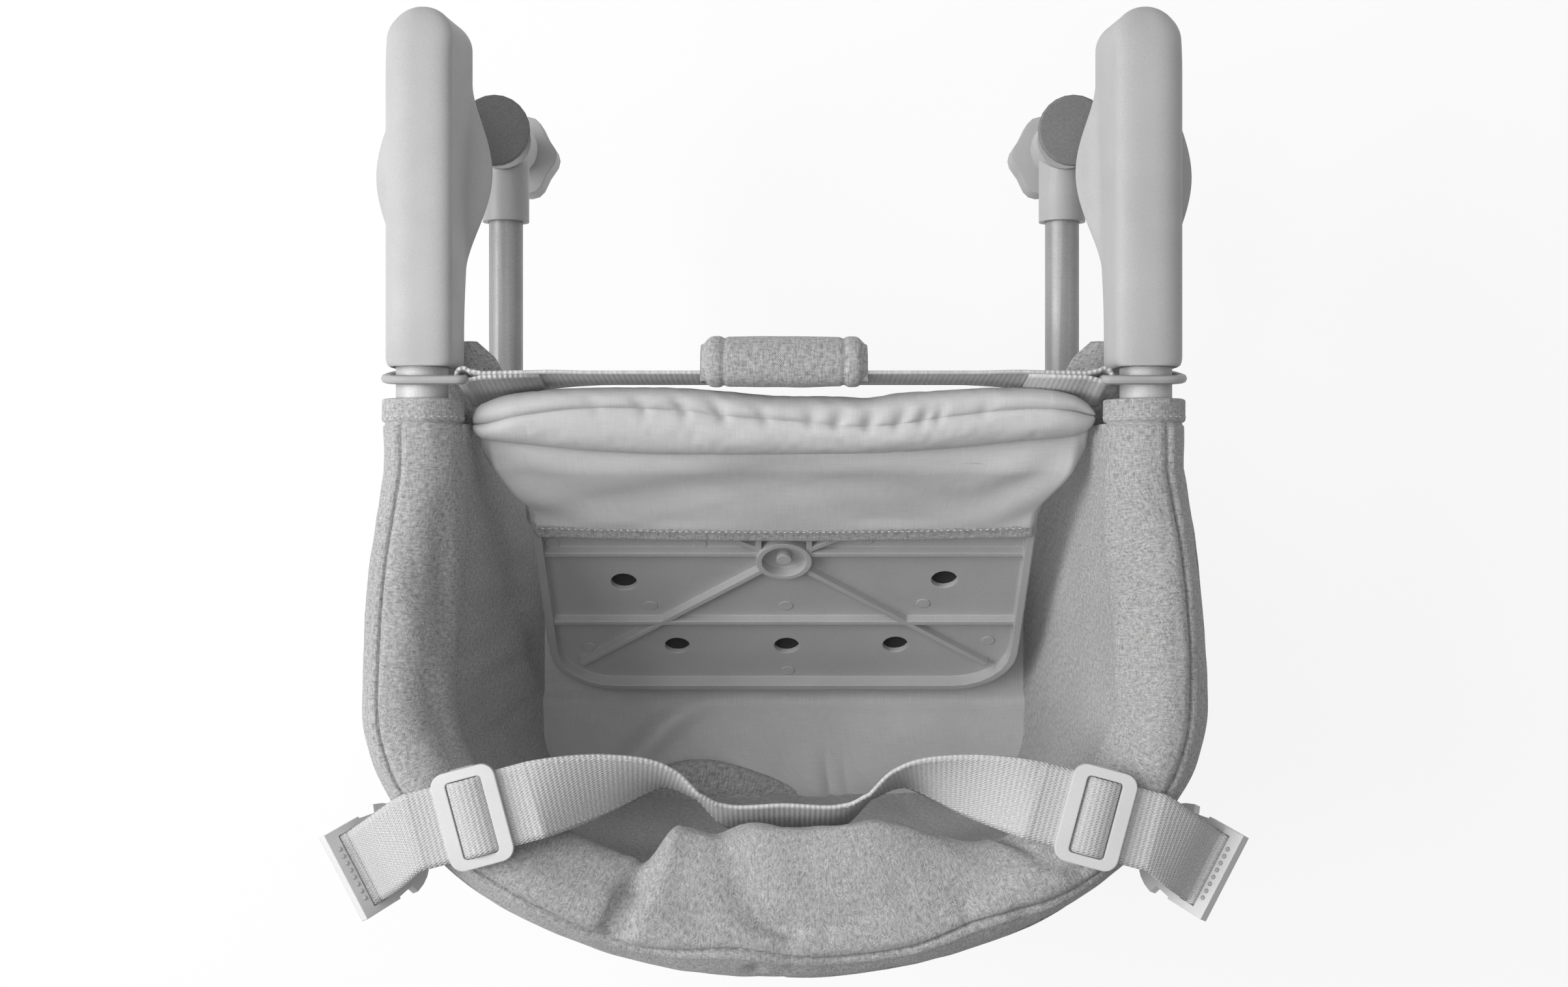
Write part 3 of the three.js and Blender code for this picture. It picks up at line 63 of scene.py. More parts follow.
def ease(low, high, x):
    t = min(1.0, max(0.0, (x - low) / (high - low)))
    return t * t * (3 - 2 * t)


def hump(centre, width, x):
    return exp(-(((x - centre) / width) ** 2))


def ripple(x, y, seed):
    return noise.noise(Vector((x, y, seed)))


def stepped(table, x):
    for (x0, y0), (x1, y1) in zip(table, table[1:]):
        if x <= x1:
            return y0 + (y1 - y0) * max(0.0, x - x0) / (x1 - x0)
    return table[-1][1]


def flipped(at, mirror=-1):
    return Vector((mirror * at.x, at.y, at.z))


def finishPiece(bm, name, body, look, replaced=()):
    mesh = bpy.data.meshes.new(name)
    for face in bm.faces:
        face.smooth = True
    bm.to_mesh(mesh)
    bm.free()
    piece = bpy.data.objects.new(name, mesh)
    scene.collection.objects.link(piece)
    mesh.materials.append(materials[look])
    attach(piece, body)
    if replaced:
        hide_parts(*replaced)
    return piece


# a grid bent into shape, with its UV in metres: as cut, or as measured along the threads
def gridShape(counts, place, cut=None, mirror=1):
    across, along = counts
    bm = bmesh.new()
    bmesh.ops.create_grid(bm, x_segments=across, y_segments=along, size=0.5)
    cloth = bm.loops.layers.uv.new("cloth")
    spots = {v: (round((v.co.x + 0.5) * across), round((v.co.y + 0.5) * along)) for v in bm.verts}
    for vert, (i, j) in spots.items():
        vert.co = flipped(place(i / across, j / along), mirror)
    if cut:
        lengths = {(i, j): (i / across * cut[0], j / along * cut[1]) for i, j in spots.values()}
    else:
        lengths = threadLengths(spots, across, along)
    for face in bm.faces:
        for loop in face.loops:
            loop[cloth].uv = lengths[spots[loop.vert]]
    bmesh.ops.recalc_face_normals(bm, faces=bm.faces[:])
    return bm


def threadLengths(spots, across, along):
    places = {spot: vert.co for vert, spot in spots.items()}
    spine = across // 4
    lengths = {}
    run = 0.0
    for j in range(along + 1):
        if j:
            run += (places[spine, j] - places[spine, j - 1]).length
        girth = 0.0
        for i in range(across + 1):
            if i:
                girth += (places[i, j] - places[i - 1, j]).length
            lengths[i, j] = (girth, run)
    return lengths


def closeSeam(bm):
    rim = [v for v in bm.verts if v.is_boundary]
    bmesh.ops.remove_doubles(bm, verts=rim, dist=2e-6)
    bmesh.ops.recalc_face_normals(bm, faces=bm.faces[:])


def capEnds(bm):
    closeSeam(bm)
    rim = [edge for edge in bm.edges if edge.is_boundary]
    bmesh.ops.holes_fill(bm, edges=rim, sides=0)
    bmesh.ops.recalc_face_normals(bm, faces=bm.faces[:])


def thicken(piece, thickness, offset=0.0):
    shell = piece.modifiers.new("thickness", "SOLIDIFY")
    shell.thickness = thickness
    shell.offset = offset


def crisp(piece, angle=40):
    edges = piece.modifiers.new("edges", "EDGE_SPLIT")
    edges.split_angle = radians(angle)


def meshArea(piece):
    return sum(face.area for face in piece.data.polygons)


def clothSheet(piece, thick, offset=0.0):
    thicken(piece, thick, offset)


def lineLengths(line):
    total = [0.0]
    for a, b in zip(line, line[1:]):
        total.append(total[-1] + (b - a).length)
    return total


def lineAt(line, lengths, distance):
    low = min(max(bisect_right(lengths, distance) - 1, 0), len(line) - 2)
    span = lengths[low + 1] - lengths[low]
    share = (distance - lengths[low]) / span if span > 0 else 0.0
    return line[low].lerp(line[low + 1], share), (line[low + 1] - line[low]).normalized()


# materials

def newMaterial(name):
    material = bpy.data.materials.new(name)
    material.use_nodes = True
    tree = material.node_tree
    tree.nodes.clear()
    output = tree.nodes.new("ShaderNodeOutputMaterial")
    shader = tree.nodes.new("ShaderNodeBsdfPrincipled")
    tree.links.new(shader.outputs[0], output.inputs[0])
    return material, tree, shader


def plug(tree, node, values):
    for key, value in values.items():
        if isinstance(value, bpy.types.NodeSocket):
            tree.links.new(value, node.inputs[key])
        else:
            node.inputs[key].default_value = value


def add(tree, kind, values=None, **settings):
    made = tree.nodes.new("ShaderNode" + kind)
    for key, value in settings.items():
        setattr(made, key, value)
    plug(tree, made, values or {})
    return made


def calc(tree, operation, a, b=0.0, c=0.0):
    return add(tree, "Math", {0: a, 1: b, 2: c}, operation=operation).outputs[0]


def grain(tree, vector, scale, detail=2.0):
    values = {"Vector": vector, "Scale": scale, "Detail": detail}
    return add(tree, "TexNoise", values).outputs[0]


def ramp(tree, factor, stops):
    made = add(tree, "ValToRGB", {0: factor})
    points = made.color_ramp.elements
    while len(points) < len(stops):
        points.new(0.5)
    for point, (place, tone) in zip(points, stops):
        point.position = place
        point.color = (tone, tone, tone, 1)
    return made.outputs[0]


def blendTone(tree, factor, a, b, mode="MIX"):
    # inputs 6 and 7 and output 2 are the mix node's colours
    made = add(tree, "Mix", {0: factor, 6: a, 7: b}, data_type="RGBA", blend_type=mode)
    return made.outputs[2]


def clothLines(tree):
    parts = add(tree, "SeparateXYZ", {0: add(tree, "UVMap", uv_map="cloth").outputs[0]})
    return parts.outputs[0], parts.outputs[1]


def wave(tree, along, pitch):
    return calc(tree, "SINE", calc(tree, "MULTIPLY", along, 2 * pi / pitch))


def threadGrain(tree, u, v, scales, layer=0.0):
    scaledU, scaledV = (calc(tree, "MULTIPLY", line, scale) for line, scale in zip((u, v), scales))
    vector = add(tree, "CombineXYZ", {0: scaledU, 1: scaledV, 2: layer}).outputs[0]
    return grain(tree, vector, 1.0)


def clothMaterial(name, pitch, slub, contrast, dark, light, rough, relief, bump, sheen):
    material, tree, shader = newMaterial(name)
    u, v = clothLines(tree)
    crossing = calc(tree, "MULTIPLY", wave(tree, u, pitch), wave(tree, v, pitch))
    weave = calc(tree, "MULTIPLY_ADD", crossing, 0.5, 0.5)
    warp = threadGrain(tree, u, v, (1 / pitch, 1 / slub))
    weft = threadGrain(tree, u, v, (1 / slub, 1 / pitch), 9.0)
    threads = blendTone(tree, calc(tree, "GREATER_THAN", weave, 0.5), warp, weft)
    thread = calc(tree, "MULTIPLY_ADD", threads, contrast, 0.5 - 0.5 * contrast)
    tone = ramp(tree, thread, [(0.25, dark), (0.75, light)])
    place = add(tree, "TexCoord").outputs["Object"]
    toneShift = ramp(tree, grain(tree, place, 14.0, 3.0), [(0.3, 0.9), (0.7, 1.05)])
    height = calc(tree, "MULTIPLY_ADD", weave, relief, calc(tree, "MULTIPLY", threads, 0.6))
    bumps = add(tree, "Bump", {"Strength": bump, "Distance": 0.0004, "Height": height})
    plug(tree, shader, {
        "Base Color": blendTone(tree, 1.0, tone, toneShift, "MULTIPLY"),
        "Roughness": ramp(tree, threads, [(0.2, rough - 0.06), (0.8, rough + 0.04)]),
        "Normal": bumps.outputs[0],
        "Sheen Weight": sheen, "Sheen Roughness": 0.6, "Specular IOR Level": 0.25,
    })
    return material


def webbingMaterial(name, ribPitch, strand, ribShare, knotShare, fleckScales, dark, light, bump):
    material, tree, shader = newMaterial(name)
    u, v = clothLines(tree)
    rib = wave(tree, v, ribPitch)
    knots = calc(tree, "MULTIPLY", rib, wave(tree, u, strand))
    fleck = threadGrain(tree, u, v, fleckScales)
    ribbed = calc(tree, "MULTIPLY_ADD", rib, ribShare, calc(tree, "MULTIPLY", knots, knotShare))
    mixed = calc(tree, "MULTIPLY_ADD", ribbed, 0.18, calc(tree, "MULTIPLY", fleck, 0.9))
    bumps = add(tree, "Bump", {"Strength": bump, "Distance": 0.0005, "Height": ribbed})
    plug(tree, shader, {
        "Base Color": ramp(tree, mixed, [(0.2, dark), (0.75, light)]),
        "Roughness": ramp(tree, fleck, [(0.2, 0.72), (0.8, 0.86)]),
        "Normal": bumps.outputs[0], "Sheen Weight": 0.15, "Specular IOR Level": 0.3,
    })
    return material


def mouldedMaterial(name, tone, speck, fleck, rough, bump, edge, toneShift, metal=0.0, shine=0.45):
    material, tree, shader = newMaterial(name)
    place = add(tree, "TexCoord").outputs["Object"]
    cloud = ramp(tree, grain(tree, place, 22.0, 4.0), [(0.3, tone * 0.93), (0.7, tone * 1.05)])
    specks = grain(tree, place, speck)
    flakes = ramp(tree, specks, [(0.35, 1 - fleck), (0.65, 1 + fleck)])
    rounded = add(tree, "Bevel", {"Radius": edge}, samples=4).outputs[0]
    flat = add(tree, "NewGeometry").outputs["Normal"]
    facing = add(tree, "VectorMath", {0: rounded, 1: flat}, operation="DOT_PRODUCT")
    # edges are lightened in the base colour: a painted edge highlight, partly edge wear
    edgeHighlightAndWear = ramp(tree, facing.outputs["Value"], [(0.86, 1.0 + toneShift), (0.985, 1.0)])
    patches = grain(tree, place, 60.0, 3.0)
    values = {"Strength": bump, "Distance": 0.0003, "Height": specks, "Normal": rounded}
    plug(tree, shader, {
        "Base Color": blendTone(
            tree, 1.0, blendTone(tree, 1.0, cloud, flakes, "MULTIPLY"), edgeHighlightAndWear, "MULTIPLY",
        ),
        "Roughness": ramp(tree, patches, [(0.3, rough - 0.05), (0.7, rough + 0.06)]),
        "Normal": add(tree, "Bump", values).outputs[0],
        "Metallic": metal, "Specular IOR Level": shine,
    })
    return material


materials = {
    "canvas": clothMaterial(
        "melangeCanvas", pitch=0.0009, slub=0.0031, contrast=1.2, dark=0.17, light=0.60,
        rough=0.9, relief=0.7, bump=0.55, sheen=0.2,
    ),
    "lining": clothMaterial(
        "liningTwill", pitch=0.0006, slub=0.012, contrast=0.6, dark=0.44, light=0.65,
        rough=0.78, relief=0.5, bump=0.3, sheen=0.25,
    ),
    "webbing": webbingMaterial(
        "ribbedWebbing", ribPitch=0.0025, strand=0.0013, ribShare=0.34, knotShare=0.55,
        fleckScales=(1500.0, 700.0), dark=0.42, light=0.7, bump=0.6,
    ),
}
mouldings = {
    # look: name, tone, speck, fleck, rough, bump, edge, edge lightening (painted edge highlight
    # with edge wear), metal, shine
    "thread": ("sewingThread", 0.6, 5200, 0.16, 0.8, 0.2, 0.0002, 0.04),
    "grip": ("gripPlastic", 0.44, 1500, 0.05, 0.62, 0.12, 0.0012, 0.12),
    "paint": ("framePaint", 0.48, 2600, 0.16, 0.54, 0.06, 0.0006, 0.1, 0.2),
    # the frame's paint made darker for the lower arms and pivot brackets: painted shade, as if
    # under a table
    "arm": ("shadedArmPaint", 0.3, 2600, 0.16, 0.44, 0.06, 0.0006, 0.1, 0.2),
    "buckle": ("bucklePlastic", 0.68, 1700, 0.04, 0.5, 0.08, 0.0008, 0.08),
    "zinc": ("zincSteel", 0.55, 900, 0.08, 0.36, 0.05, 0.0005, 0.18, 0.95),
    "rubber": ("padRubber", 0.2, 1200, 0.1, 0.82, 0.2, 0.0008, 0.3, 0.0, 0.3),
    # near-black discs under the board's holes: painted shade that makes the holes read deep and
    # dark
    "shadeInHoles": ("paintedHoleShade", 0.035, 1200, 0.1, 0.85, 0.2, 0.0004, 0.2, 0.0, 0.2),
    "ring": ("ringPlastic", 0.4, 1700, 0.05, 0.48, 0.08, 0.0009, 0.14),
    "slider": ("sliderPlastic", 0.66, 1700, 0.03, 0.5, 0.06, 0.0009, 0.05),
    "board": ("boardPlastic", 0.45, 1400, 0.05, 0.44, 0.1, 0.0009, 0.35),
}
materials.update({look: mouldedMaterial(*values) for look, values in mouldings.items()})
print("materials made")


# camera, floor and light

cameraSet = {"place": (0.0, -0.0763, 1.0), "lens": 46.55, "sensor": 36.0}
cameraData = bpy.data.cameras.new("topCamera")
cameraData.lens = cameraSet["lens"]
cameraData.sensor_width = cameraSet["sensor"]
camera = bpy.data.objects.new("topCamera", cameraData)
camera.location = cameraSet["place"]
scene.collection.objects.link(camera)
scene.camera = camera


def directRays(tree):
    path = add(tree, "LightPath").outputs
    direct = calc(tree, "MAXIMUM", path["Is Camera Ray"], path["Is Glossy Ray"])
    return calc(tree, "MAXIMUM", direct, path["Is Transmission Ray"])


floorSet = {"height": -0.245, "half": 6.0, "tone": 0.9, "rough": 0.9, "glow": 0.86}
bm = bmesh.new()
bmesh.ops.create_grid(bm, x_segments=2, y_segments=2, size=floorSet["half"])
bmesh.ops.translate(bm, verts=bm.verts[:], vec=(0, 0, floorSet["height"]))
floorMesh = bpy.data.meshes.new("paleFloor")
bm.to_mesh(floorMesh)
bm.free()
floorPlane = bpy.data.objects.new("paleFloor", floorMesh)
scene.collection.objects.link(floorPlane)
floorPlane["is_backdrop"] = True
floorPaint, tree, shader = newMaterial("floorPaint")
plug(tree, shader, {"Base Color": (floorSet["tone"],) * 3 + (1,), "Roughness": floorSet["rough"]})
glow = add(tree, "Emission", {"Color": (1, 1, 1, 1), "Strength": 1.0})
seen = calc(tree, "MULTIPLY", directRays(tree), floorSet["glow"])
mixed = add(tree, "MixShader", {0: seen, 1: shader.outputs[0], 2: glow.outputs[0]})
tree.links.new(mixed.outputs[0], tree.nodes["Material Output"].inputs[0])
floorMesh.materials.append(floorPaint)

# the world looks pale and gives less light than it shows
worldSet = {"light": 0.18, "shown": 0.74}
world = bpy.data.worlds.new("studio")
scene.world = world
world.use_nodes = True
tree = world.node_tree
tree.nodes.clear()
pale = calc(tree, "MULTIPLY_ADD", directRays(tree), worldSet["shown"], worldSet["light"])
sky = add(tree, "Background", {"Color": (1, 1, 1, 1), "Strength": pale})
add(tree, "OutputWorld", {0: sky.outputs[0]})

# name, place, size and power
lamps = [
    ("keyBox", (-1.35, 0.1, 1.1), 1.3, 33.0),
    ("topBox", (-0.25, -0.05, 1.8), 1.0, 8.0),
    ("fillBox", (0.9, 0.9, 1.0), 1.0, 3.4),
]
lampAim = Vector((0, -0.08, 0))
for name, place, size, power in lamps:
    light = bpy.data.lights.new(name, "AREA")
    light.size = size
    light.energy = power
    box = bpy.data.objects.new(name, light)
    box.location = place
    box.rotation_euler = (lampAim - box.location).to_track_quat("-Z", "Y").to_euler()
    scene.collection.objects.link(box)

scene.view_settings.view_transform = "Standard"
print("stage set")


# plan line of the bent tube, from the left front round the back to the right front

tubeSet = {
    "half": 0.1736, "flareFrom": 0.066, "flareTo": 0.175, "flare": 0.0104, "bendBack": 0.290,
    "height": 0.027, "radius": 0.0125, "front": 0.126, "sideSteps": 160, "bendSteps": 120,
    "mesh": (40, 340), "girth": 0.0785,
}


def halfLine(front):
    t = tubeSet
    points = []
    for i in range(t["sideSteps"] + 1):
        behind = -front + (t["flareTo"] + front) * i / t["sideSteps"]
        share = (behind - t["flareFrom"]) / (t["flareTo"] - t["flareFrom"])
        out = t["flare"] * sin(pi / 2 * max(0.0, share))
        points.append(Vector((t["half"] + out, -behind, 0)))
    wide = t["half"] + t["flare"]
    deep = t["bendBack"] - t["flareTo"]
    for i in range(1, t["bendSteps"] + 1):
        angle = pi / 2 * i / t["bendSteps"]
        points.append(Vector((wide * cos(angle), -t["flareTo"] - deep * sin(angle), 0)))
    return points


def wholeLine(front):
    right = halfLine(front)
    return [flipped(p) for p in right] + right[-2::-1]


def outward(tangent):
    return Vector((tangent.y, -tangent.x, 0))


# bent frame tube

tubePath = wholeLine(tubeSet["front"])
tubeLengths = lineLengths(tubePath)


def ringPoint(at, tangent, angle, radius, height):
    rise = Vector((0, 0, height + radius * sin(angle)))
    return at + outward(tangent) * (radius * cos(angle)) + rise


def tubePlace(a, b):
    spot = lineAt(tubePath, tubeLengths, tubeLengths[-1] * b)
    return ringPoint(*spot, 2 * pi * a, tubeSet["radius"], tubeSet["height"])


bm = gridShape(tubeSet["mesh"], tubePlace, (tubeSet["girth"], tubeLengths[-1]))
capEnds(bm)
finishPiece(bm, "frameTube", "frame", "paint", ["upper_frame_tube"])
print("tube made")


# moulded grips, finer than the frame's solids

gripSet = {
    "rear": -0.0161, "tip": 0.157, "half": 0.0165, "height": 0.044, "nose": 0.027, "noseRun": 0.034,
    "lip": 0.0022, "lipRun": 0.005, "base": 0.001, "lean": 0.0042,
    "wing": 0.0104, "wingFrom": 0.034, "wingTo": 0.124, "wingThick": 0.003,
    "innerEdge": (0.0085, 0.6), "outerEdge": (0.014, 0.82),
    "rimShare": 0.08, "waistShare": 0.34, "shoulderShare": 0.5, "lipShare": 0.06, "noseShare": 0.86,
    "mesh": (88, 110), "flat": (0.12, 0.17), "crease": 50,
}


def gripStation(y):
    g = gripSet
    centre = g["tip"] - g["half"]
    half = g["half"]
    if y > centre:
        half = sqrt(max(0.0, half * half - (y - centre) ** 2))
    lipped = max(0.0, 1 - (y - g["rear"]) / g["lipRun"])
    half -= g["lip"] * (1 - sqrt(max(0.0, 1 - lipped ** 2)))
    leaf = min(1.0, max(0.0, (y - g["wingFrom"]) / (g["wingTo"] - g["wingFrom"])))
    wing = g["wing"] * sin(leaf * pi) ** 1.6
    lean = g["lean"] * ease(0.0, 0.105, y) * min(1.0, half / g["half"])
    nose = max(0.0, (y - g["tip"] + g["noseRun"]) / g["noseRun"])
    top = g["height"] - (g["height"] - g["nose"]) * (1 - sqrt(max(0.0, 1 - nose * nose)))
    return half, wing, lean, top


def gripProfile(half, wing, lean, top, a):
    g = gripSet
    side, q = (1.0, 2 * a) if a < 0.5 else (-1.0, 2 * (1 - a))
    edge, power = g["outerEdge"] if side > 0 else g["innerEdge"]
    lean = 0.0 if side > 0 else lean
    low = g["base"]
    rim = low + g["wingThick"]
    shoulder = max(rim + 0.003, top - edge * min(1.0, half / g["half"] + 0.2))
    waist = max(rim + 0.001, min(rim + 0.010, shoulder - 0.001))
    rimTo, waistTo, shoulderTo = g["rimShare"], g["waistShare"], g["shoulderShare"]
    if q < rimTo:
        x = (half + lean + wing) * (1 - 0.04 * (1 - q / rimTo))
        return side * x, low + (rim - low) * q / rimTo
    if q < shoulderTo:
        w = min(1.0, (q - rimTo) / (waistTo - rimTo))
        z = rim + (waist - rim) * w
        if q >= waistTo:
            z = waist + (shoulder - waist) * (q - waistTo) / (shoulderTo - waistTo)
        x = half + lean * (shoulder - z) / (shoulder - rim) + wing * (1 - w) ** 3.4
        return side * x, z
    angle = pi / 2 * (q - shoulderTo) / (1 - shoulderTo)
    x = half * cos(angle) ** power
    return side * x, shoulder + (top - shoulder) * sin(angle) ** power


def gripPlace(a, b):
    g = gripSet
    straightFrom, noseFrom = g["rear"] + g["lipRun"], g["tip"] - g["half"]
    if b < g["lipShare"]:
        y = g["rear"] + g["lipRun"] * b / g["lipShare"]
    elif b < g["noseShare"]:
        share = (b - g["lipShare"]) / (g["noseShare"] - g["lipShare"])
        y = straightFrom + (noseFrom - straightFrom) * share
    else:
        share = (b - g["noseShare"]) / (1 - g["noseShare"])
        y = noseFrom + g["half"] * sin(0.985 * pi / 2 * share)
    x, z = gripProfile(*gripStation(y), a)
    return Vector((tubeSet["half"] + x, y, z))


for side, mirror in bothSides:
    bm = gridShape(gripSet["mesh"], gripPlace, gripSet["flat"], mirror)
    capEnds(bm)
    replaced = ["arm_grip_" + side.lower()]
    grip = finishPiece(bm, "gripShell" + side, "frame", "grip", replaced)
    crisp(grip, gripSet["crease"])
print("grips made")


# finishes of the carried-over solids

solidSet = {"weld": 3e-6, "crease": 34}


def dressNode(name, look):
    node = nodes[name]
    mesh = node.data
    stored = mesh.attributes.get("custom_normal")
    if stored:
        mesh.attributes.remove(stored)
    mesh.shade_smooth()
    weld = node.modifiers.new("weld", "WELD")
    weld.merge_threshold = solidSet["weld"]
    crisp(node, solidSet["crease"])
    mesh.materials.clear()
    mesh.materials.append(materials[look])


# arm: the darker, painted-shade copy of the frame paint
finishes = {
    "grip_sole": "rubber", "pivot_bracket": "arm", "pivot_pin": "zinc", "lower_arm": "arm",
    "clamp_nut": "ring", "clamp_spindle": "zinc", "clamp_pad": "rubber", "clamp_knob": "grip",
    "strap_ring": "ring", "slider": "slider", "buckle": "buckle",
}
for stem, look in finishes.items():
    for side in ("left", "right"):
        dressNode(stem + "_" + side, look)
dressNode("seat_board", "board")
print("solids dressed")


# sleeve on the tube: hemmed at both ends, its slack back fallen inwards to a soft fold

sleeveSet = {
    "front": -0.031, "centre": 0.023, "radius": 0.0189, "inner": 0.0068, "crown": 0.0034,
    "hem": 0.0115, "hemRows": 24, "hemRun": 0.016, "hemRise": 0.0007, "hemGroove": 0.0012,
    "rows": 340, "around": 128, "thick": 0.0014, "flat": 0.16, "folds": 0.0013, "creases": 0.0005,
    "turns": [(0.009, -0.0024), (0.0012, -0.0022), (0.0, -0.0012), (0.0004, -0.0003)],
    "angles": [(0.0, 0), (0.06, 46), (0.34, 92), (0.40, 104), (0.85, 235), (1.0, 360)],
    "fold": [
        (96, 0.0), (115, 0.05), (130, 0.19), (150, 0.47), (162, 0.8), (172, 1.0), (185, 0.94),
        (195, 0.61), (210, 0.26), (230, 0.03), (242, 0.0),
    ],
    "foldReach": 0.031, "foldFrom": (-0.088, -0.060), "foldTo": (0.044, 0.126),
    "slackDip": 0.0036, "slackFolds": 0.0034, "slackCreases": 0.0021,
    "valleys": [(-0.0810, -0.075, 0.0060, 0.0105), (0.150, 0.127, 0.0055, 0.0065)],
    "dimples": [
        (-0.013, 52, 0.004, 13, 0.0024), (0.003, 102, 0.0045, 15, 0.0026),
        (0.021, 106, 0.004, 12, 0.0018), (0.089, 102, 0.0045, 19, 0.0024),
        (0.062, 138, 0.010, 10, 0.0022), (0.037, 122, 0.013, 8, 0.0016),
        (-0.046, 118, 0.010, 14, 0.0014), (0.112, 70, 0.005, 14, 0.0018),
        (0.132, 110, 0.006, 16, 0.0016), (-0.113, 176, 0.03, 30, -0.0045),
    ],
    "seam": {
        "angle": 57, "sides": 8, "depth": 0.0036, "wide": 0.034, "pitch": 0.0065, "piping": 0.0009,
        "humps": [(16, -0.125, 0.05), (27, -0.022, 0.034), (12, 0.035, 0.03), (24, 0.092, 0.034)],
    },
}
sleevePath = wholeLine(sleeveSet["front"])
sleeveLengths = lineLengths(sleevePath)
sleeveLong = sleeveLengths[-1]


def seamAngle(back):
    s = sleeveSet["seam"]
    humps = sum(rise * hump(place, wide, back) for rise, place, wide in s["humps"])
    return s["angle"] + s["sides"] * ease(0.14, 0.19, abs(back)) + humps


def foldReach(back):
    s = sleeveSet
    start, full = s["foldFrom"]
    rise = 0.78 * ease(start, full, back) + 0.22 * ease(full, -0.012, back)
    return s["foldReach"] * rise * (1 - ease(*s["foldTo"], back))


def sleeveFolds(degrees, back):
    s = sleeveSet
    zone = ease(60, 84, degrees) * (1 - ease(186, 214, degrees))
    move = 0.0
    for seam, edge, wide, depth in s["valleys"]:
        line = seam + (edge - seam) * (degrees - 58) / 112
        move += depth * zone * (0.2 * hump(line, 3.2 * wide, back) - hump(line, wide, back))
    for place, angle, wide, spread, depth in s["dimples"]:
        move -= depth * hump(place, wide, back) * hump(angle, spread, degrees)
    slack = ease(92, 112, degrees) * (1 - ease(188, 214, degrees)) * hump(0.028, 0.12, back)
    slant = -0.022 + 0.026 * (150 - degrees) / 50
    move -= s["slackDip"] * slack * hump(slant, 0.010, back)
    move += s["slackFolds"] * slack * ripple(back * 19, degrees * 0.021, 31.0)
    fine = ripple(back * 46 + degrees * 0.03, degrees * 0.03, 17.0)
    move += s["slackCreases"] * slack * fine
    return move


def sleeveRadius(angle, run):
    s = sleeveSet
    degrees = angle * 180 / pi
    end = min(run, sleeveLong - run)
    back = run - sleeveLong / 2
    full = ease(0.02, 0.075, end)
    radius = s["radius"]
    radius += s["inner"] * full * hump(radians(206), 0.72, angle)
    radius += s["crown"] * full * hump(radians(92), 0.62, angle)
    radius += foldReach(back) * stepped(s["fold"], degrees) + sleeveFolds(degrees, back)
    lean = run * 26 + copysign(0.016, back) * degrees
    radius += s["folds"] * full * ripple(lean, cos(angle) * 1.4, sin(angle) * 1.4)
    radius += s["creases"] * ripple(run * 75, cos(angle) * 2.2, 4 + sin(angle) * 2.2)
    seam = s["seam"]
    line = radians(seamAngle(back))
    sewn = ease(s["hem"], s["hem"] + 0.001, end)
    pucker = 0.75 + 0.25 * sin(run * 2 * pi / seam["pitch"] + 2 * ripple(run * 40, 2.0, 3.0))
    radius -= seam["depth"] * sewn * pucker * hump(line, seam["wide"], angle)
    piping = hump(line - 0.17, 0.09, angle) + 0.6 * hump(line + 0.19, 0.1, angle)
    radius += seam["piping"] * sewn * piping
    radius += s["hemRise"] * (1 - ease(s["hem"] - 0.0012, s["hem"], end))
    radius -= s["hemGroove"] * hump(s["hem"] + 0.0003, 0.0007, end)
    above = tubeSet["height"] - s["centre"]
    tube = sqrt(tubeSet["radius"] ** 2 - (above * cos(angle)) ** 2)
    return max(radius, above * sin(angle) + tube + s["thick"] + 0.0003)


def sleevePoint(angle, run, lift=0.0):
    spot = lineAt(sleevePath, sleeveLengths, run)
    return ringPoint(*spot, angle, sleeveRadius(angle, run) + lift, sleeveSet["centre"])


def sleeveRun(back):
    s = sleeveSet
    first, hemRun = s["turns"][-1][0], s["hemRun"]
    if back <= s["hemRows"]:
        return first + (hemRun - first) * (back - 3) / (s["hemRows"] - 3)
    t = (back - s["hemRows"]) / (s["rows"] / 2 - s["hemRows"])
    return hemRun + (sleeveLong / 2 - hemRun) * (1.4 * t - 0.4 * t * t)


def sleevePlace(a, b):
    s = sleeveSet
    angle = radians(stepped(s["angles"], a))
    row = round(b * s["rows"])
    back = min(row, s["rows"] - row)
    run, lift = s["turns"][back] if back < len(s["turns"]) else (sleeveRun(back), 0.0)
    run = min(max(run, 1e-6), sleeveLong / 2)
    return sleevePoint(angle, run if row <= s["rows"] / 2 else sleeveLong - run, lift)


bm = gridShape((sleeveSet["around"], sleeveSet["rows"]), sleevePlace)
closeSeam(bm)
replaced = ["top_sleeve", "back_flap"]
sleeve = finishPiece(bm, "sleeveCloth", "frame", "canvas", replaced)
clothSheet(sleeve, sleeveSet["thick"], -1.0)
print("sleeve made", meshArea(sleeve))


# bucket wall: one sheet from the left front round the back to the right front

wallSet = {
    "offset": 0.0178, "frontTop": 0.0428, "frontFoot": 0.088, "footHalf": 0.136, "footBack": 0.246,
    "corner": 0.036, "cornerSteps": 24, "top": 0.024, "depth": 0.150, "thick": 0.0016,
    "mesh": (300, 70), "flat": (0.62, 0.19),
    "folds": 0.0022, "creases": 0.0011, "sag": 0.0035, "bound": 0.0007, "turn": 0.020,
}


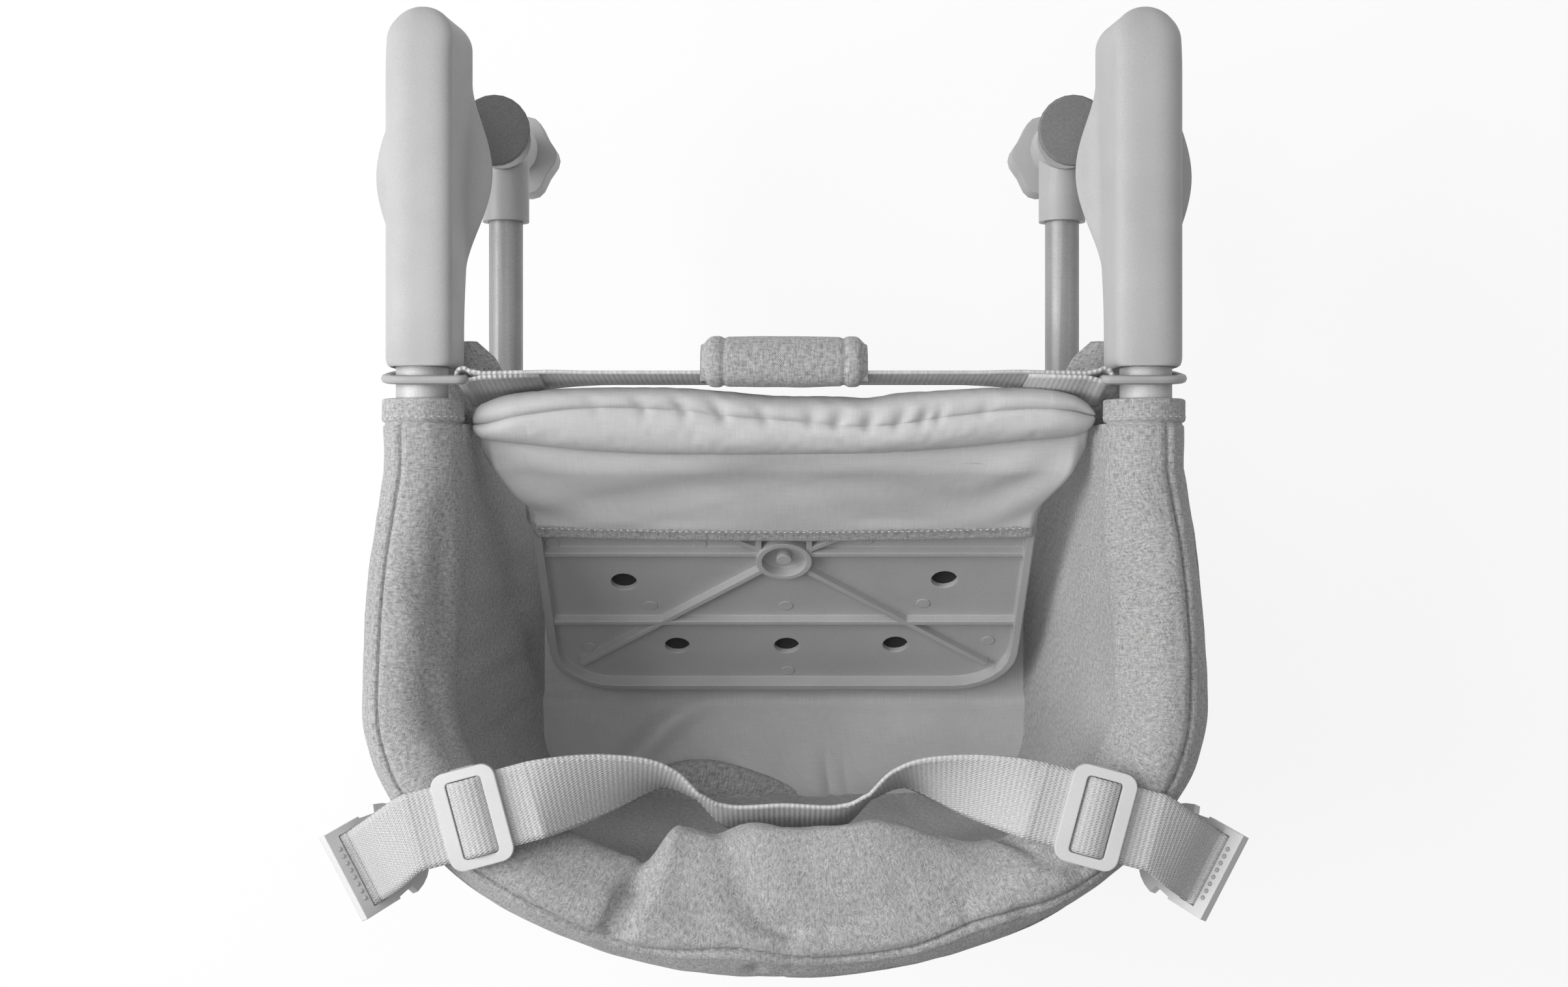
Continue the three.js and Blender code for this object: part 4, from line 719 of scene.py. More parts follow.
def wallLines():
    w = wallSet
    top = []
    path = halfLine(-w["frontTop"])
    for i, point in enumerate(path):
        tangent = (path[min(i + 1, len(path) - 1)] - path[max(i - 1, 0)]).normalized()
        top.append(point + outward(tangent) * w["offset"])
    top[-1].x = 0
    side, back, corner = w["footHalf"], -w["footBack"], w["corner"]
    foot = [Vector((side, -w["frontFoot"], 0)), Vector((side, corner + back, 0))]
    for i in range(1, w["cornerSteps"] + 1):
        angle = pi / 2 * i / w["cornerSteps"]
        inset, ahead = corner * (1 - cos(angle)), corner * (1 - sin(angle))
        foot.append(Vector((side - inset, ahead + back, 0)))
    foot.append(Vector((0, back, 0)))
    return top, lineLengths(top), foot, lineLengths(foot)


wallTop, wallTopLengths, wallFoot, wallFootLengths = wallLines()


def wallPoint(t, drop):
    w = wallSet
    share = 1 - abs(t)
    top, _ = lineAt(wallTop, wallTopLengths, wallTopLengths[-1] * share)
    foot, _ = lineAt(wallFoot, wallFootLengths, wallFootLengths[-1] * share)
    at = top.lerp(foot, max(0.0, drop) ** 0.8)
    at.y = top.y + (foot.y - top.y) * max(0.0, drop) ** (0.8 + 1.6 * ease(0.8, 1.0, abs(t)))
    side = -1 if t < 0 else 1
    return Vector((side * at.x, at.y, w["top"] - (w["depth"] + w["top"]) * drop))


def wallPlace(a, b):
    w = wallSet
    t = 2 * a - 1
    at = wallPoint(t, b)
    ahead = wallPoint(min(1, t + 0.004), b) - wallPoint(max(-1, t - 0.004), b)
    inward = Vector((-ahead.y, ahead.x, 0)).normalized()
    free = ease(0.0, 0.16, b) * ease(1.0, 0.9, b)
    folds = w["folds"] * ripple(t * 9 + 1.5 * b, b * 1.4, 11.0)
    folds += w["creases"] * ripple(t * 26 + 3 * b, b * 2.2, 5.0)
    sag = w["sag"] * sin(pi * b) * hump(0.55, 0.3, abs(t))
    bound = w["bound"] * ease(0.975, 0.98, abs(t))
    turned = w["turn"] * hump(-0.17, 0.16, t) + 0.002 * hump(0.2, 0.2, t)
    turned *= ease(0.9, 1.0, b) ** 2
    lift = 0.3 * turned + 0.0045 * ease(0.0, 0.005, turned)
    return at + inward * (free * folds - sag * 0.6 + bound + turned) + Vector((0, 0, lift))


bm = gridShape(wallSet["mesh"], wallPlace)
replaced = ["side_panel_left", "side_panel_right", "back_panel"]
wall = finishPiece(bm, "bucketWall", "frame", "canvas", replaced)
clothSheet(wall, wallSet["thick"])
print("wall made", meshArea(wall))


# lining at the bottom of the bucket, run forward under the base and gathered along its back hem

bottomSet = {
    "half": 0.1376, "front": 0.090, "back": 0.2472, "corner": 0.040, "level": -0.1487,
    "hem": 0.2436, "welt": 0.191, "weltRise": 0.0024, "rise": 0.0052, "pleat": 0.0034,
    "pitch": 0.034, "ridge": 0.008, "thick": 0.0012, "mesh": (220, 90), "flat": (0.2752, 0.162),
}


def bottomPlace(a, b):
    s = bottomSet
    behind = s["front"] + (s["back"] - s["front"]) * b
    into = max(0.0, behind - (s["back"] - s["corner"]))
    half = s["half"] - s["corner"] + sqrt(max(4e-6, s["corner"] ** 2 - into ** 2))
    x = half * (2 * a - 1)
    free = ease(0.186, 0.196, behind)
    rise = s["rise"] * ease(0.214, s["hem"], behind) ** 2
    rise += s["weltRise"] * hump(s["welt"], 0.007, behind)
    bunch = (0.12 + 0.88 * hump(0.008, 0.036, x)) * (0.6 + 0.8 * ripple(x * 31, 1.0, 4.0))
    folds = abs(sin(x * 2 * pi / s["pitch"] + 4.5 * ripple(x * 24, b * 2, 8.0)))
    pleat = s["pleat"] * ease(0.212, s["hem"], behind) * bunch * folds
    billow = 0.0022 * ripple(x * 16, behind * 26, 6.0) + 0.0014 * ripple(x * 40, behind * 18, 9.0)
    ridge = s["ridge"] * hump(-0.0585 - 0.98 * (behind - 0.199), 0.011, x)
    ridge *= ease(0.19, 0.206, behind) * ease(0.244, 0.226, behind)
    lift = rise + ridge + pleat + 0.0012 + max(-0.001, billow)
    return Vector((x, -behind, s["level"] + free * lift))


bm = gridShape(bottomSet["mesh"], bottomPlace)
bottom = finishPiece(bm, "bottomLining", "frame", "lining", ["bottom_panel"])
clothSheet(bottom, bottomSet["thick"])
print("bottom made", meshArea(bottom))


# padding is blown up by a short cloth run, held where it is sewn

def puff(piece, settings, hold):
    rest = [v.co.copy() for v in piece.data.vertices]
    group = piece.vertex_groups.new(name="held")
    for vert in piece.data.vertices:
        group.add([vert.index], hold(vert.co), "REPLACE")
    cloth = piece.modifiers.new("cloth", "CLOTH")
    values = {
        "quality": 6, "mass": 0.15, "use_pressure": True, "vertex_group_mass": group.name,
        "uniform_pressure_force": settings["pressure"], "shrink_min": settings["slack"],
        "bending_stiffness": settings["bending"],
    }
    for key, value in values.items():
        setattr(cloth.settings, key, value)
    cloth.settings.effector_weights.gravity = 0.0
    cloth.collision_settings.use_collision = False
    cloth.point_cache.frame_end = settings["frames"]
    for step in range(1, settings["frames"] + 1):
        scene.frame_set(step)
    blown = piece.evaluated_get(bpy.context.evaluated_depsgraph_get()).data
    moved = [v.co.copy() for v in blown.vertices]
    for vert, old, new in zip(piece.data.vertices, rest, moved):
        move = new - old
        if move.length > 1e-7:
            move *= settings["cap"] * tanh(move.length / settings["cap"]) / move.length
        vert.co = old + move
    piece.modifiers.remove(cloth)
    piece.vertex_groups.clear()
    scene.frame_set(1)
    bm = bmesh.new()
    bm.from_mesh(piece.data)
    loose = [v for v in bm.verts if hold(v.co) < settings["calmBelow"]]
    axes = {"use_axis_x": True, "use_axis_y": True, "use_axis_z": True}
    for step in range(settings["calm"]):
        bmesh.ops.smooth_vert(bm, verts=loose, factor=0.5, **axes)
    bm.to_mesh(piece.data)
    bm.free()


# front roll: its front edge, seam and back edge have lines of their own, and the seam is gathered

rollSet = {
    "half": 0.1508, "middle": 0.0158, "high": 0.0112, "seam": 70, "notch": 0.0042,
    "closeFrom": 0.138, "mesh": (84, 330), "fill": 0.55,
    "front": [
        (-150.8, -38.5), (-149.6, -35.5), (-146, -32.6), (-134.4, -28.5), (-118, -26.2),
        (-100.7, -25.1), (-78, -24.7), (-55.8, -24.8), (-33, -26.2), (-5, -28.8), (25, -29.3),
        (40.8, -30.0), (54, -27.9), (88, -25.4), (104, -24.8), (127, -25.8), (140, -28.4),
        (146, -31.8), (149.6, -35.5), (150.8, -37.5),
    ],
    "crease": [
        (-150.8, -42.8), (-145.6, -42.4), (-125, -38.6), (-100.7, -35.6), (-75, -35.2),
        (-44.6, -36.9), (-28.8, -39.1), (8, -41.7), (35, -44.0), (54, -43.2), (73, -40.3),
        (91, -38.0), (106, -36.3), (123, -35.6), (140, -36.4), (150.8, -38.6),
    ],
    "back": [
        (-150.8, -45.5), (-149.6, -47.4), (-145.6, -49.8), (-123, -52.6), (-96, -55.4),
        (-67, -57.0), (-22, -57.4), (20, -57.2), (52, -56.4), (82.5, -54.2), (105, -51.6),
        (138.5, -48.6), (146.5, -46.2), (149.6, -43.4), (150.8, -41.0),
    ],
    "gathers": [
        (-67, -4.5, 1.5, 3.0), (-47.4, -4.0, 1.9, 2.8), (-28.8, -5.0, 2.3, 3.0),
        (-8.6, -3.4, 1.5, 3.0), (12.8, 1.0, 1.2, 2.6), (25.2, 3.4, 2.1, 2.7),
        (40.3, 2.2, 2.3, 2.6), (54.4, 4.4, 1.9, 2.6), (66.2, 3.8, 2.0, 2.4),
        (74.3, 1.7, 1.8, 2.3), (-90, -4.0, 0.8, 3.4), (96, 3.0, 0.8, 3.2),
    ],
    "cloth": {
        "pressure": 2.0, "slack": -0.012, "bending": 0.4, "frames": 14, "cap": 0.0008, "calm": 4,
        "calmBelow": 0.4,
    },
}


def rollLine(name, x):
    table = rollSet[name]
    spots = [Vector((px, py, 0)) for px, py in table]
    for k in range(len(table) - 1):
        if x * 1000 <= table[k + 1][0]:
            break
    w = min(1.0, max(0.0, (x * 1000 - table[k][0]) / (table[k + 1][0] - table[k][0])))
    slopes = []
    for i in (k, k + 1):
        low, high = spots[max(0, i - 1)], spots[min(len(table) - 1, i + 1)]
        slopes.append((high.y - low.y) / (high.x - low.x))
    span = spots[k + 1].x - spots[k].x
    y = spots[k].y * (1 + 2 * w) * (1 - w) ** 2 + spots[k + 1].y * w * w * (3 - 2 * w)
    return (y + span * (slopes[0] * w * (1 - w) ** 2 - slopes[1] * w * w * (1 - w))) * mm


def rollGather(x, share):
    dip = 0.0
    for place, shift, depth, wide in rollSet["gathers"]:
        line = place + shift * (1 - share) * 1.6
        dip += depth * hump(line, wide * (1 + 1.1 * (1 - share)), x * 1000)
    return 1.45 * dip * mm


def rollPlace(a, b):
    s = rollSet
    x = s["half"] * sin((b - 0.5) * pi)
    front, crease, back = (rollLine(name, x) for name in ("front", "crease", "back"))
    tipped = ease(0.128, s["half"], abs(x))
    closed = max(0.0, (abs(x) - s["closeFrom"]) / (s["half"] - s["closeFrom"]))
    high = s["high"] * (0.22 + 0.78 * sqrt(max(0.0, 1 - closed ** 2)))
    seam = s["seam"] / 360
    sewn = high * (0.74 - 0.5 * tipped)
    soft = 0.0007 * ripple(x * 40, a * 9, 2.0) * (1 - tipped)
    pulled = 0.0
    if a < seam:
        w = a / seam
        y = front + (crease - front) * (1 - cos(pi * w)) / 2
        z = sewn * w + 0.66 * high * sin(pi * w)
        z += soft * sin(pi * w) - rollGather(x, w) * ease(0.3, 0.8, w) * (1 - 0.5 * w ** 6)
        pulled = w ** 8
    elif a < 0.5:
        w = (a - seam) / (0.5 - seam)
        y = crease + (back - crease) * (1 - cos(pi * w)) / 2
        z = sewn * (1 - w) + 0.58 * high * sin(pi * w)
        z += soft * sin(pi * w) - 0.7 * rollGather(x, 1.0) * hump(0.12, 0.16, w)
        pulled = (1 - w) ** 8
    else:
        w = (a - 0.5) / 0.5
        y = back + (front - back) * (1 - cos(pi * w)) / 2
        z = -0.96 * high * sin(pi * w)
    x -= copysign(s["notch"] * tipped * pulled, x)
    return Vector((x, y, s["middle"] + z))


def rollHold(co):
    sewn = hump(0.0, 0.0022, co.y - rollLine("crease", co.x)) if co.z > rollSet["middle"] else 0.0
    return max(0.12, sewn, ease(0.118, 0.142, abs(co.x)))


bm = gridShape(rollSet["mesh"], rollPlace)
capEnds(bm)
roll = finishPiece(bm, "frontRoll", "frame", "lining", ["front_roll"])
puff(roll, rollSet["cloth"], rollHold)
print("roll made")


# crotch pad: a saddle over the strap with a bound band at each side

padSet = {
    "half": 0.0398, "band": 0.0285, "mesh": (96, 100), "flat": (0.11, 0.08), "fill": 0.7,
    "profile": [
        (-6.8, -8.2), (-3.2, -7.2), (-1.6, 2), (-0.9, 10), (-0.9, 20), (-2, 29), (-5.5, 37),
        (-11, 41.6), (-17, 42.8), (-22.4, 41.4), (-24.8, 37), (-25.0, 30), (-24.0, 22),
        (-22.9, 13), (-21.6, 12.2), (-21.3, 14), (-22.6, 30), (-23.2, 38.2), (-22.4, 39.6),
        (-20.8, 39.2), (-16, 35), (-10.6, 27), (-8.6, 18), (-7.9, 6),
    ],
}


def smoothLoop(points, count):
    made = []
    total = len(points)
    for i in range(count):
        place = total * i / count
        k = int(place)
        w = place - k
        near = (points[(k + j) % total] for j in (-1, 0, 1, 2))
        made.append(tuple(
            0.5 * (2 * b + (c - a) * w + (2 * a - 5 * b + 4 * c - d) * w * w
                   + (3 * b - a - 3 * c + d) * w ** 3)
            for a, b, c, d in zip(*near)
        ))
    return made


padLoop = smoothLoop(padSet["profile"], padSet["mesh"][0])


def padPlace(a, b):
    s = padSet
    k = round(a * len(padLoop)) % len(padLoop)
    before, at, after = padLoop[k - 1], padLoop[k], padLoop[(k + 1) % len(padLoop)]
    share = 2 * b - 1
    x = s["half"] * share
    slope = Vector((after[1] - before[1], before[0] - after[0])).normalized()
    lift = 0.0
    if a < 0.56:
        swell = 0.5 * (1 - share * share)
        groove = -0.75 * hump(s["band"], 0.0011, abs(x))
        band = 0.35 * ease(s["band"] + 0.0006, s["band"] + 0.003, abs(x))
        rounding = -4.0 * ease(0.82, 1.0, abs(share)) ** 2
        lift = swell + groove + band + rounding + 0.35 * ripple(x * 60, a * 9, 5.0)
    return Vector((x, (at[0] + slope.x * lift) * mm, (at[1] + slope.y * lift) * mm))


bm = gridShape(padSet["mesh"], padPlace, padSet["flat"])
capEnds(bm)
pad = finishPiece(bm, "crotchPad", "crotch_pad", "canvas", ["crotch_pad"])
print("pad made")


# seat base in its own slope: s runs up the board and n stands off it

slopeSet = {"behind": 0.182, "below": 0.143, "degrees": 49, "run": 0.656059, "rise": 0.754710}


def raised(x, s, n):
    run, rise = slopeSet["run"], slopeSet["rise"]
    y = -slopeSet["behind"] + run * s - rise * n
    return Vector((x, y, -slopeSet["below"] + rise * s + run * n))


pocketSet = {
    "hem": 0.146, "tip": 0.1982, "lip": 0.2016, "half": 0.1302, "flare": 0.0176, "bow": 0.0038,
    "top": 0.0113, "foot": -0.0016, "thick": 0.0012, "corner": 0.036, "foldFrom": 0.86,
    "dip": 0.0021, "cornerDip": 0.0082, "cornerOut": 0.0066,
    "mesh": (180, 44), "flat": (0.275, 0.064), "underMesh": (120, 90), "underFlat": (0.265, 0.198),
    "bandHalf": 0.131, "band": 0.0047, "bandMesh": (28, 200), "bandFlat": (0.021, 0.27),
}


def pocketHalf(s):
    p = pocketSet
    return p["half"] + p["flare"] * ease(p["hem"] + 0.006, p["tip"], s)


def hemLine(share):
    return pocketSet["hem"] - pocketSet["bow"] * (1 - share * share)


def tucked(share):
    return 1 - 0.9 * ease(0.955, 1.0, abs(share))


def pocketTopPlace(a, b):
    p = pocketSet
    share = 2 * a - 1
    corner = ease(0.2, 0.97, abs(share))
    lip = p["lip"] + p["cornerOut"] * corner
    dip = p["dip"] + p["cornerDip"] * corner
    if b < p["foldFrom"]:
        s = hemLine(share) + (lip - hemLine(share)) * b / p["foldFrom"]
        n = p["top"] - dip * ease(0.188, lip, s)
    else:
        fold = (b - p["foldFrom"]) / (1 - p["foldFrom"])
        s = lip - (lip - p["tip"]) * fold
        n = (p["top"] - dip) * cos(fold * pi / 2)
    x = pocketHalf(s) * share
    free = ease(p["hem"], p["hem"] + 0.008, s) * (1 - ease(0.192, lip, s))
    pull = sin((s - 0.6 * abs(x)) * 2 * pi / 0.03) * hump(0.125, 0.022, abs(x))
    slant = 0.0021 * ripple(x * 9 + s * 30, s * 34 - x * 12, 3.0)
    slant += 0.0009 * ripple(x * 26, s * 60 + x * 20, 7.0)
    n += free * (slant + 0.0012 * pull - 0.0022 * (1 - share * share) * hump(0.17, 0.02, s))
    return raised(x, s, n * tucked(share))


bm = gridShape(pocketSet["mesh"], pocketTopPlace, pocketSet["flat"])
pocket = finishPiece(bm, "basePocket", "seat_base", "lining", ["base_pocket"])
clothSheet(pocket, pocketSet["thick"])


def pocketUnderPlace(a, b):
    p = pocketSet
    s = -0.001 + (p["tip"] + 0.001) * b
    into = max(0.0, p["corner"] - s)
    inset = p["corner"] - sqrt(max(0.0, p["corner"] ** 2 - into * into))
    x = (pocketHalf(s) - 0.0002 - min(inset, 0.030)) * (2 * a - 1)
    n = p["foot"] + 0.0006 * ripple(x * 12, s * 12, 13.0) * ease(0.0, 0.02, s)
    return raised(x, s, min(n, -0.0009))


bm = gridShape(pocketSet["underMesh"], pocketUnderPlace, pocketSet["underFlat"])
under = finishPiece(bm, "baseUnderside", "seat_base", "lining")
clothSheet(under, pocketSet["thick"])


def hemPlace(a, b):
    p = pocketSet
    share = 2 * b - 1
    x = p["bandHalf"] * share
    angle = 2 * pi * a
    s = hemLine(share) + p["band"] * cos(angle) + 0.0003 * ripple(x * 30, a * 3, 2.0)
    bulge = 0.0011 * sin(angle) * (1 - 0.5 * hump(0, 0.5, cos(angle)))
    return raised(x, s, p["top"] * tucked(share) + bulge + 0.0002)


bm = gridShape(pocketSet["bandMesh"], hemPlace, pocketSet["bandFlat"])
capEnds(bm)
finishPiece(bm, "pocketHem", "seat_base", "canvas")
print("pocket made")


# webbing: a band along a line of stations

def catmull(points, place):
    last = len(points) - 1
    k = min(int(place), last - 1)
    w = place - k
    p1, p2 = points[k], points[k + 1]
    p0 = points[k - 1] if k > 0 else 2 * p1 - p2
    p3 = points[k + 2] if k + 2 <= last else 2 * p2 - p1
    d0, d1, d2 = ((b - a).length ** 0.5 for a, b in ((p0, p1), (p1, p2), (p2, p3)))
    t1 = ((p1 - p0) / d0 - (p2 - p0) / (d0 + d1) + (p2 - p1) / d1) * d1
    t2 = ((p2 - p1) / d1 - (p3 - p1) / (d1 + d2) + (p3 - p2) / d2) * d1
    return p1 + t1 * w + (3 * (p2 - p1) - 2 * t1 - t2) * w * w + (2 * (p1 - p2) + t1 + t2) * w ** 3


sliderSet = {"centre": (146.0, -228.0, 47.0), "turn": 15}
sliderCentre = Vector(sliderSet["centre"])
sliderTurn = radians(sliderSet["turn"])
sliderRun = Vector((cos(sliderTurn), -sin(sliderTurn), 0))
sliderAcross = Vector((-sin(sliderTurn), -cos(sliderTurn), 0))

# stations in millimetres, each with the way across the band
harnessSet = {
    "width": 0.037, "thick": 0.0016, "perSpan": 14, "across": 12,
    "stations": [
        ((0, -235, 6), (0, -0.47, -0.883)), ((29, -234, 6.5), (0, -0.42, -0.907)),
        ((42, -224, 11), (0.06, -0.2, -0.98)), ((57, -214, 17), (0.14, -0.36, -0.92)),
        ((86, -215.5, 31), (0.0, -0.84, -0.54)),
    ],
    "flatRuns": (-30, -25, 0, 25, 30), "fall": 4.5, "fallWay": (-0.4, -0.91, 0),
    "end": (202, -256, 22), "endWay": (-0.46, -0.888, 0),
    "bar": (2.6, -1.4, -2.6), "barRadius": 3.5, "wrap": 250, "wrapSteps": 16,
    "tailRows": (3, 5, 8, 11, 14, 18, 22), "tailGap": 1.75,
}


def harnessStations():
    h = harnessSet
    made = [(Vector(at), Vector(way)) for at, way in h["stations"]]
    made += [(sliderCentre + run * sliderRun, sliderAcross) for run in h["flatRuns"]]
    end = Vector(h["end"])
    over = made[-1][0].lerp(end, 0.5) + Vector((0, 0, h["fall"]))
    return made + [(over, Vector(h["fallWay"])), (end, Vector(h["endWay"]))]


def harnessLine():
    h = harnessSet
    stations = harnessStations()
    points = [at for at, _ in stations]
    line = []
    for i in range(len(stations) - 1):
        for k in range(h["perSpan"]):
            w = k / h["perSpan"]
            way = stations[i][1].lerp(stations[i + 1][1], w).normalized()
            line.append((catmull(points, i + w), way))
    across = stations[-1][1].normalized()
    line.append((points[-1], across))
    bar = Vector(h["bar"])
    up = Vector((0, 0, 1))
    out = up.cross(across)
    first = atan2(-bar.z, -bar.dot(out))
    for i in range(1, h["wrapSteps"] + 1):
        angle = first - radians(h["wrap"]) * i / h["wrapSteps"]
        turn = out * cos(angle) + up * sin(angle)
        line.append((points[-1] + bar + h["barRadius"] * turn, across))
    tail = []
    for k in h["tailRows"]:
        row = len(line) - 1 - h["wrapSteps"] - k
        at, way = line[row]
        over = way.cross(line[row + 1][0] - line[row - 1][0]).normalized()
        tail.append((at - over * copysign(h["tailGap"], over.z), way))
    return line + tail


halfBand = harnessLine()
bandLine = [(flipped(at), flipped(way)) for at, way in halfBand[:0:-1]] + halfBand
bandPoints = [at * mm for at, _ in bandLine]
bandWays = [way for _, way in bandLine]


def bandPlace(a, b):
    k = round(b * (len(bandPoints) - 1))
    return bandPoints[k] + bandWays[k] * ((2 * a - 1) * harnessSet["width"] / 2)


bm = gridShape((harnessSet["across"], len(bandPoints) - 1), bandPlace)
band = finishPiece(bm, "harnessWebbing", "frame", "webbing", ["harness_strap"])
thicken(band, harnessSet["thick"])


# front strap on edge, looped round each ring and sewn back on itself

strapSet = {
    "bar": 0.1522, "loop": 0.0034, "sewn": 0.1162, "lap": 0.004, "neck": 0.009, "gap": 0.0009,
    "foot": 0.0018, "width": 0.037, "thick": 0.0016, "across": 12,
    "lean": -0.09, "twist": -0.16, "middle": 0.020, "back": 0.0205, "endBack": 0.0042,
    "loopFrom": -40, "loopTurn": 280, "loopSteps": 14, "runSteps": 39,
}


def strapPlan():
    s = strapSet
    neck = s["neck"] - s["bar"]
    plan = [Vector((-s["sewn"], -s["gap"], 0)), Vector((neck, -s["gap"], 0))]
    for i in range(s["loopSteps"] + 1):
        angle = radians(s["loopFrom"] - s["loopTurn"] * i / s["loopSteps"])
        plan.append(Vector((s["loop"] * cos(angle) - s["bar"], s["loop"] * sin(angle), 0)))
    plan.append(Vector((neck, s["gap"], 0)))
    right = [flipped(p) for p in reversed(plan)]
    for i in range(s["runSteps"] + 1):
        x = (s["sewn"] + s["lap"]) * (2 * i / s["runSteps"] - 1)
        plan.append(Vector((x, s["gap"] * ease(0.09, 0.115, abs(x)), 0)))
    return plan + right


strapPoints = strapPlan()


def strapPlace(a, b):
    s = strapSet
    at = strapPoints[round(b * (len(strapPoints) - 1))]
    z = s["foot"] + s["width"] * a
    ending = ease(0.085, 0.15, abs(at.x))
    lean = s["lean"] + s["twist"] * ending
    back = s["back"] + s["endBack"] * ending
    return Vector((at.x, at.y - back - lean * (z - s["middle"]), z))


bm = gridShape((strapSet["across"], len(strapPoints) - 1), strapPlace)
strap = finishPiece(bm, "frontStrap", "frame", "webbing", ["front_strap"])
thicken(strap, strapSet["thick"])


# small fabric covers beside the pivots

coverSet = {
    "outer": 0.1668, "level": -0.0056, "thick": 0.0016, "front": 1, "long": 45,
    "edge": [(1, 14), (9, 23), (17.5, 27.8), (30, 28.2), (46, 21)],
    "mesh": (20, 40), "flat": (0.0282, 0.045),
}


def coverPlace(a, b):
    s = coverSet
    behind = s["front"] + s["long"] * b
    x = s["outer"] - stepped(s["edge"], behind) * mm * a
    droop = -0.0035 * a * a + 0.0007 * ripple(a * 3, b * 4, 2.0)
    return Vector((x, -behind * mm, s["level"] + droop))


for side, mirror in bothSides:
    bm = gridShape(coverSet["mesh"], coverPlace, coverSet["flat"], mirror)
    replaced = ["hinge_cover_" + side.lower()]
    cover = finishPiece(bm, "pivotCover" + side, "frame", "canvas", replaced)
    clothSheet(cover, coverSet["thick"])
print("covers made")


# small moulded and sewn details

def boardDiscs(name, settings, look):
    slope = Matrix.Rotation(radians(slopeSet["degrees"]), 4, "X")
    bm = bmesh.new()
    for x, s in settings["places"]:
        bmesh.ops.create_cone(
            bm, cap_ends=True, segments=settings["segments"], radius1=settings["radius"],
            radius2=settings["radius"] - settings["draft"], depth=settings["thick"],
            matrix=Matrix.Translation(raised(x, s, settings["level"])) @ slope,
        )
    crisp(finishPiece(bm, name, "seat_base", look))


# dark discs just under the board's holes: painted shade, not a real part
holeSet = {
    "radius": 0.0098, "draft": 0.0, "thick": 0.0005, "level": -0.0004, "segments": 32,
    "places": [
        (-0.0845, 0.0935), (0.0845, 0.0955), (-0.0585, 0.0375), (0.0015, 0.0375), (0.061, 0.0385),
    ],
}
boardDiscs("holeShadeDiscs", holeSet, "shadeInHoles")

markSet = {
    "radius": 0.0039, "draft": 0.0003, "thick": 0.00035, "level": 0.003175, "segments": 28,
    "places": [
        (-0.1196, 0.1254), (-0.0434, 0.1254), (0.0423, 0.1280), (0.1173, 0.1327), (-0.0714, 0.0732),
        (0.0011, 0.0732), (0.0744, 0.0752), (-0.1070, 0.0362), (0.1115, 0.0421), (0.0022, 0.0144),
    ],
}
boardDiscs("boardMarks", markSet, "board")

loopSet = {
    "long": 0.0172, "wide": 0.0364, "rise": 0.0046, "foot": 0.0008, "thick": 0.0008,
    "mesh": (16, 28), "flat": (0.0364, 0.021),
}


def loopPlace(a, b):
    s = loopSet
    crown = max(0.0, 1 - (2 * b - 1) ** 2) ** 0.5
    at = sliderRun * (s["long"] * (b - 0.5)) + sliderAcross * (s["wide"] * (a - 0.5))
    return sliderCentre * mm + at + Vector((0, 0, s["foot"] + s["rise"] * crown))


for side, mirror in bothSides:
    bm = gridShape(loopSet["mesh"], loopPlace, None, mirror)
    slider = "slider_" + side.lower()
    loop = finishPiece(bm, "sliderLoop" + side, slider, "webbing")
    clothSheet(loop, loopSet["thick"], -1.0)


toothSet = {
    "pivot": (0.2046, -0.2574, 0.0194), "drop": 50, "across": (-0.46, -0.888), "out": 0.0072,
    "high": 0.0022, "count": 8, "span": 0.0262, "radius": 0.00125,
}
toothAcross = Vector((*toothSet["across"], 0)).normalized()
toothDrop = radians(toothSet["drop"])
toothDown = toothAcross.cross(Vector((0, 0, 1))) * cos(toothDrop)
toothDown -= Vector((0, 0, sin(toothDrop)))
toothFace = toothDown.cross(toothAcross).normalized()
toothFirst = Vector(toothSet["pivot"]) - toothDown * toothSet["out"] + toothFace * toothSet["high"]
for side, mirror in bothSides:
    bm = bmesh.new()
    for i in range(toothSet["count"]):
        at = toothFirst + toothAcross * (toothSet["span"] * (i / (toothSet["count"] - 1) - 0.5))
        place = Matrix.Translation(flipped(at, mirror))
        bmesh.ops.create_uvsphere(
            bm, u_segments=10, v_segments=6, radius=toothSet["radius"], matrix=place,
        )
    finishPiece(bm, "buckleTeeth" + side, "buckle_" + side.lower(), "ring")
print("mouldings made")


stitchSet = {
    "size": (0.0011, 0.00036, 0.00026),
    "band": {
        "pitch": 0.0034, "from": 0.028, "to": 0.118, "middle": -0.2217, "reach": 0.014,
        "edge": 0.0164, "lift": 0.0008, "up": (0, 0.4, 1),
    },
    "cuff": {"pitch": 0.0036, "run": 0.0088, "from": -40, "step": 4, "count": 66, "lift": 0.0001},
    "hem": {
        "pitch": 0.0033, "reach": 0.94, "count": 120, "in": 0.0033, "lift": 0.0013,
        "up": (0, -0.755, 0.656),
    },
}


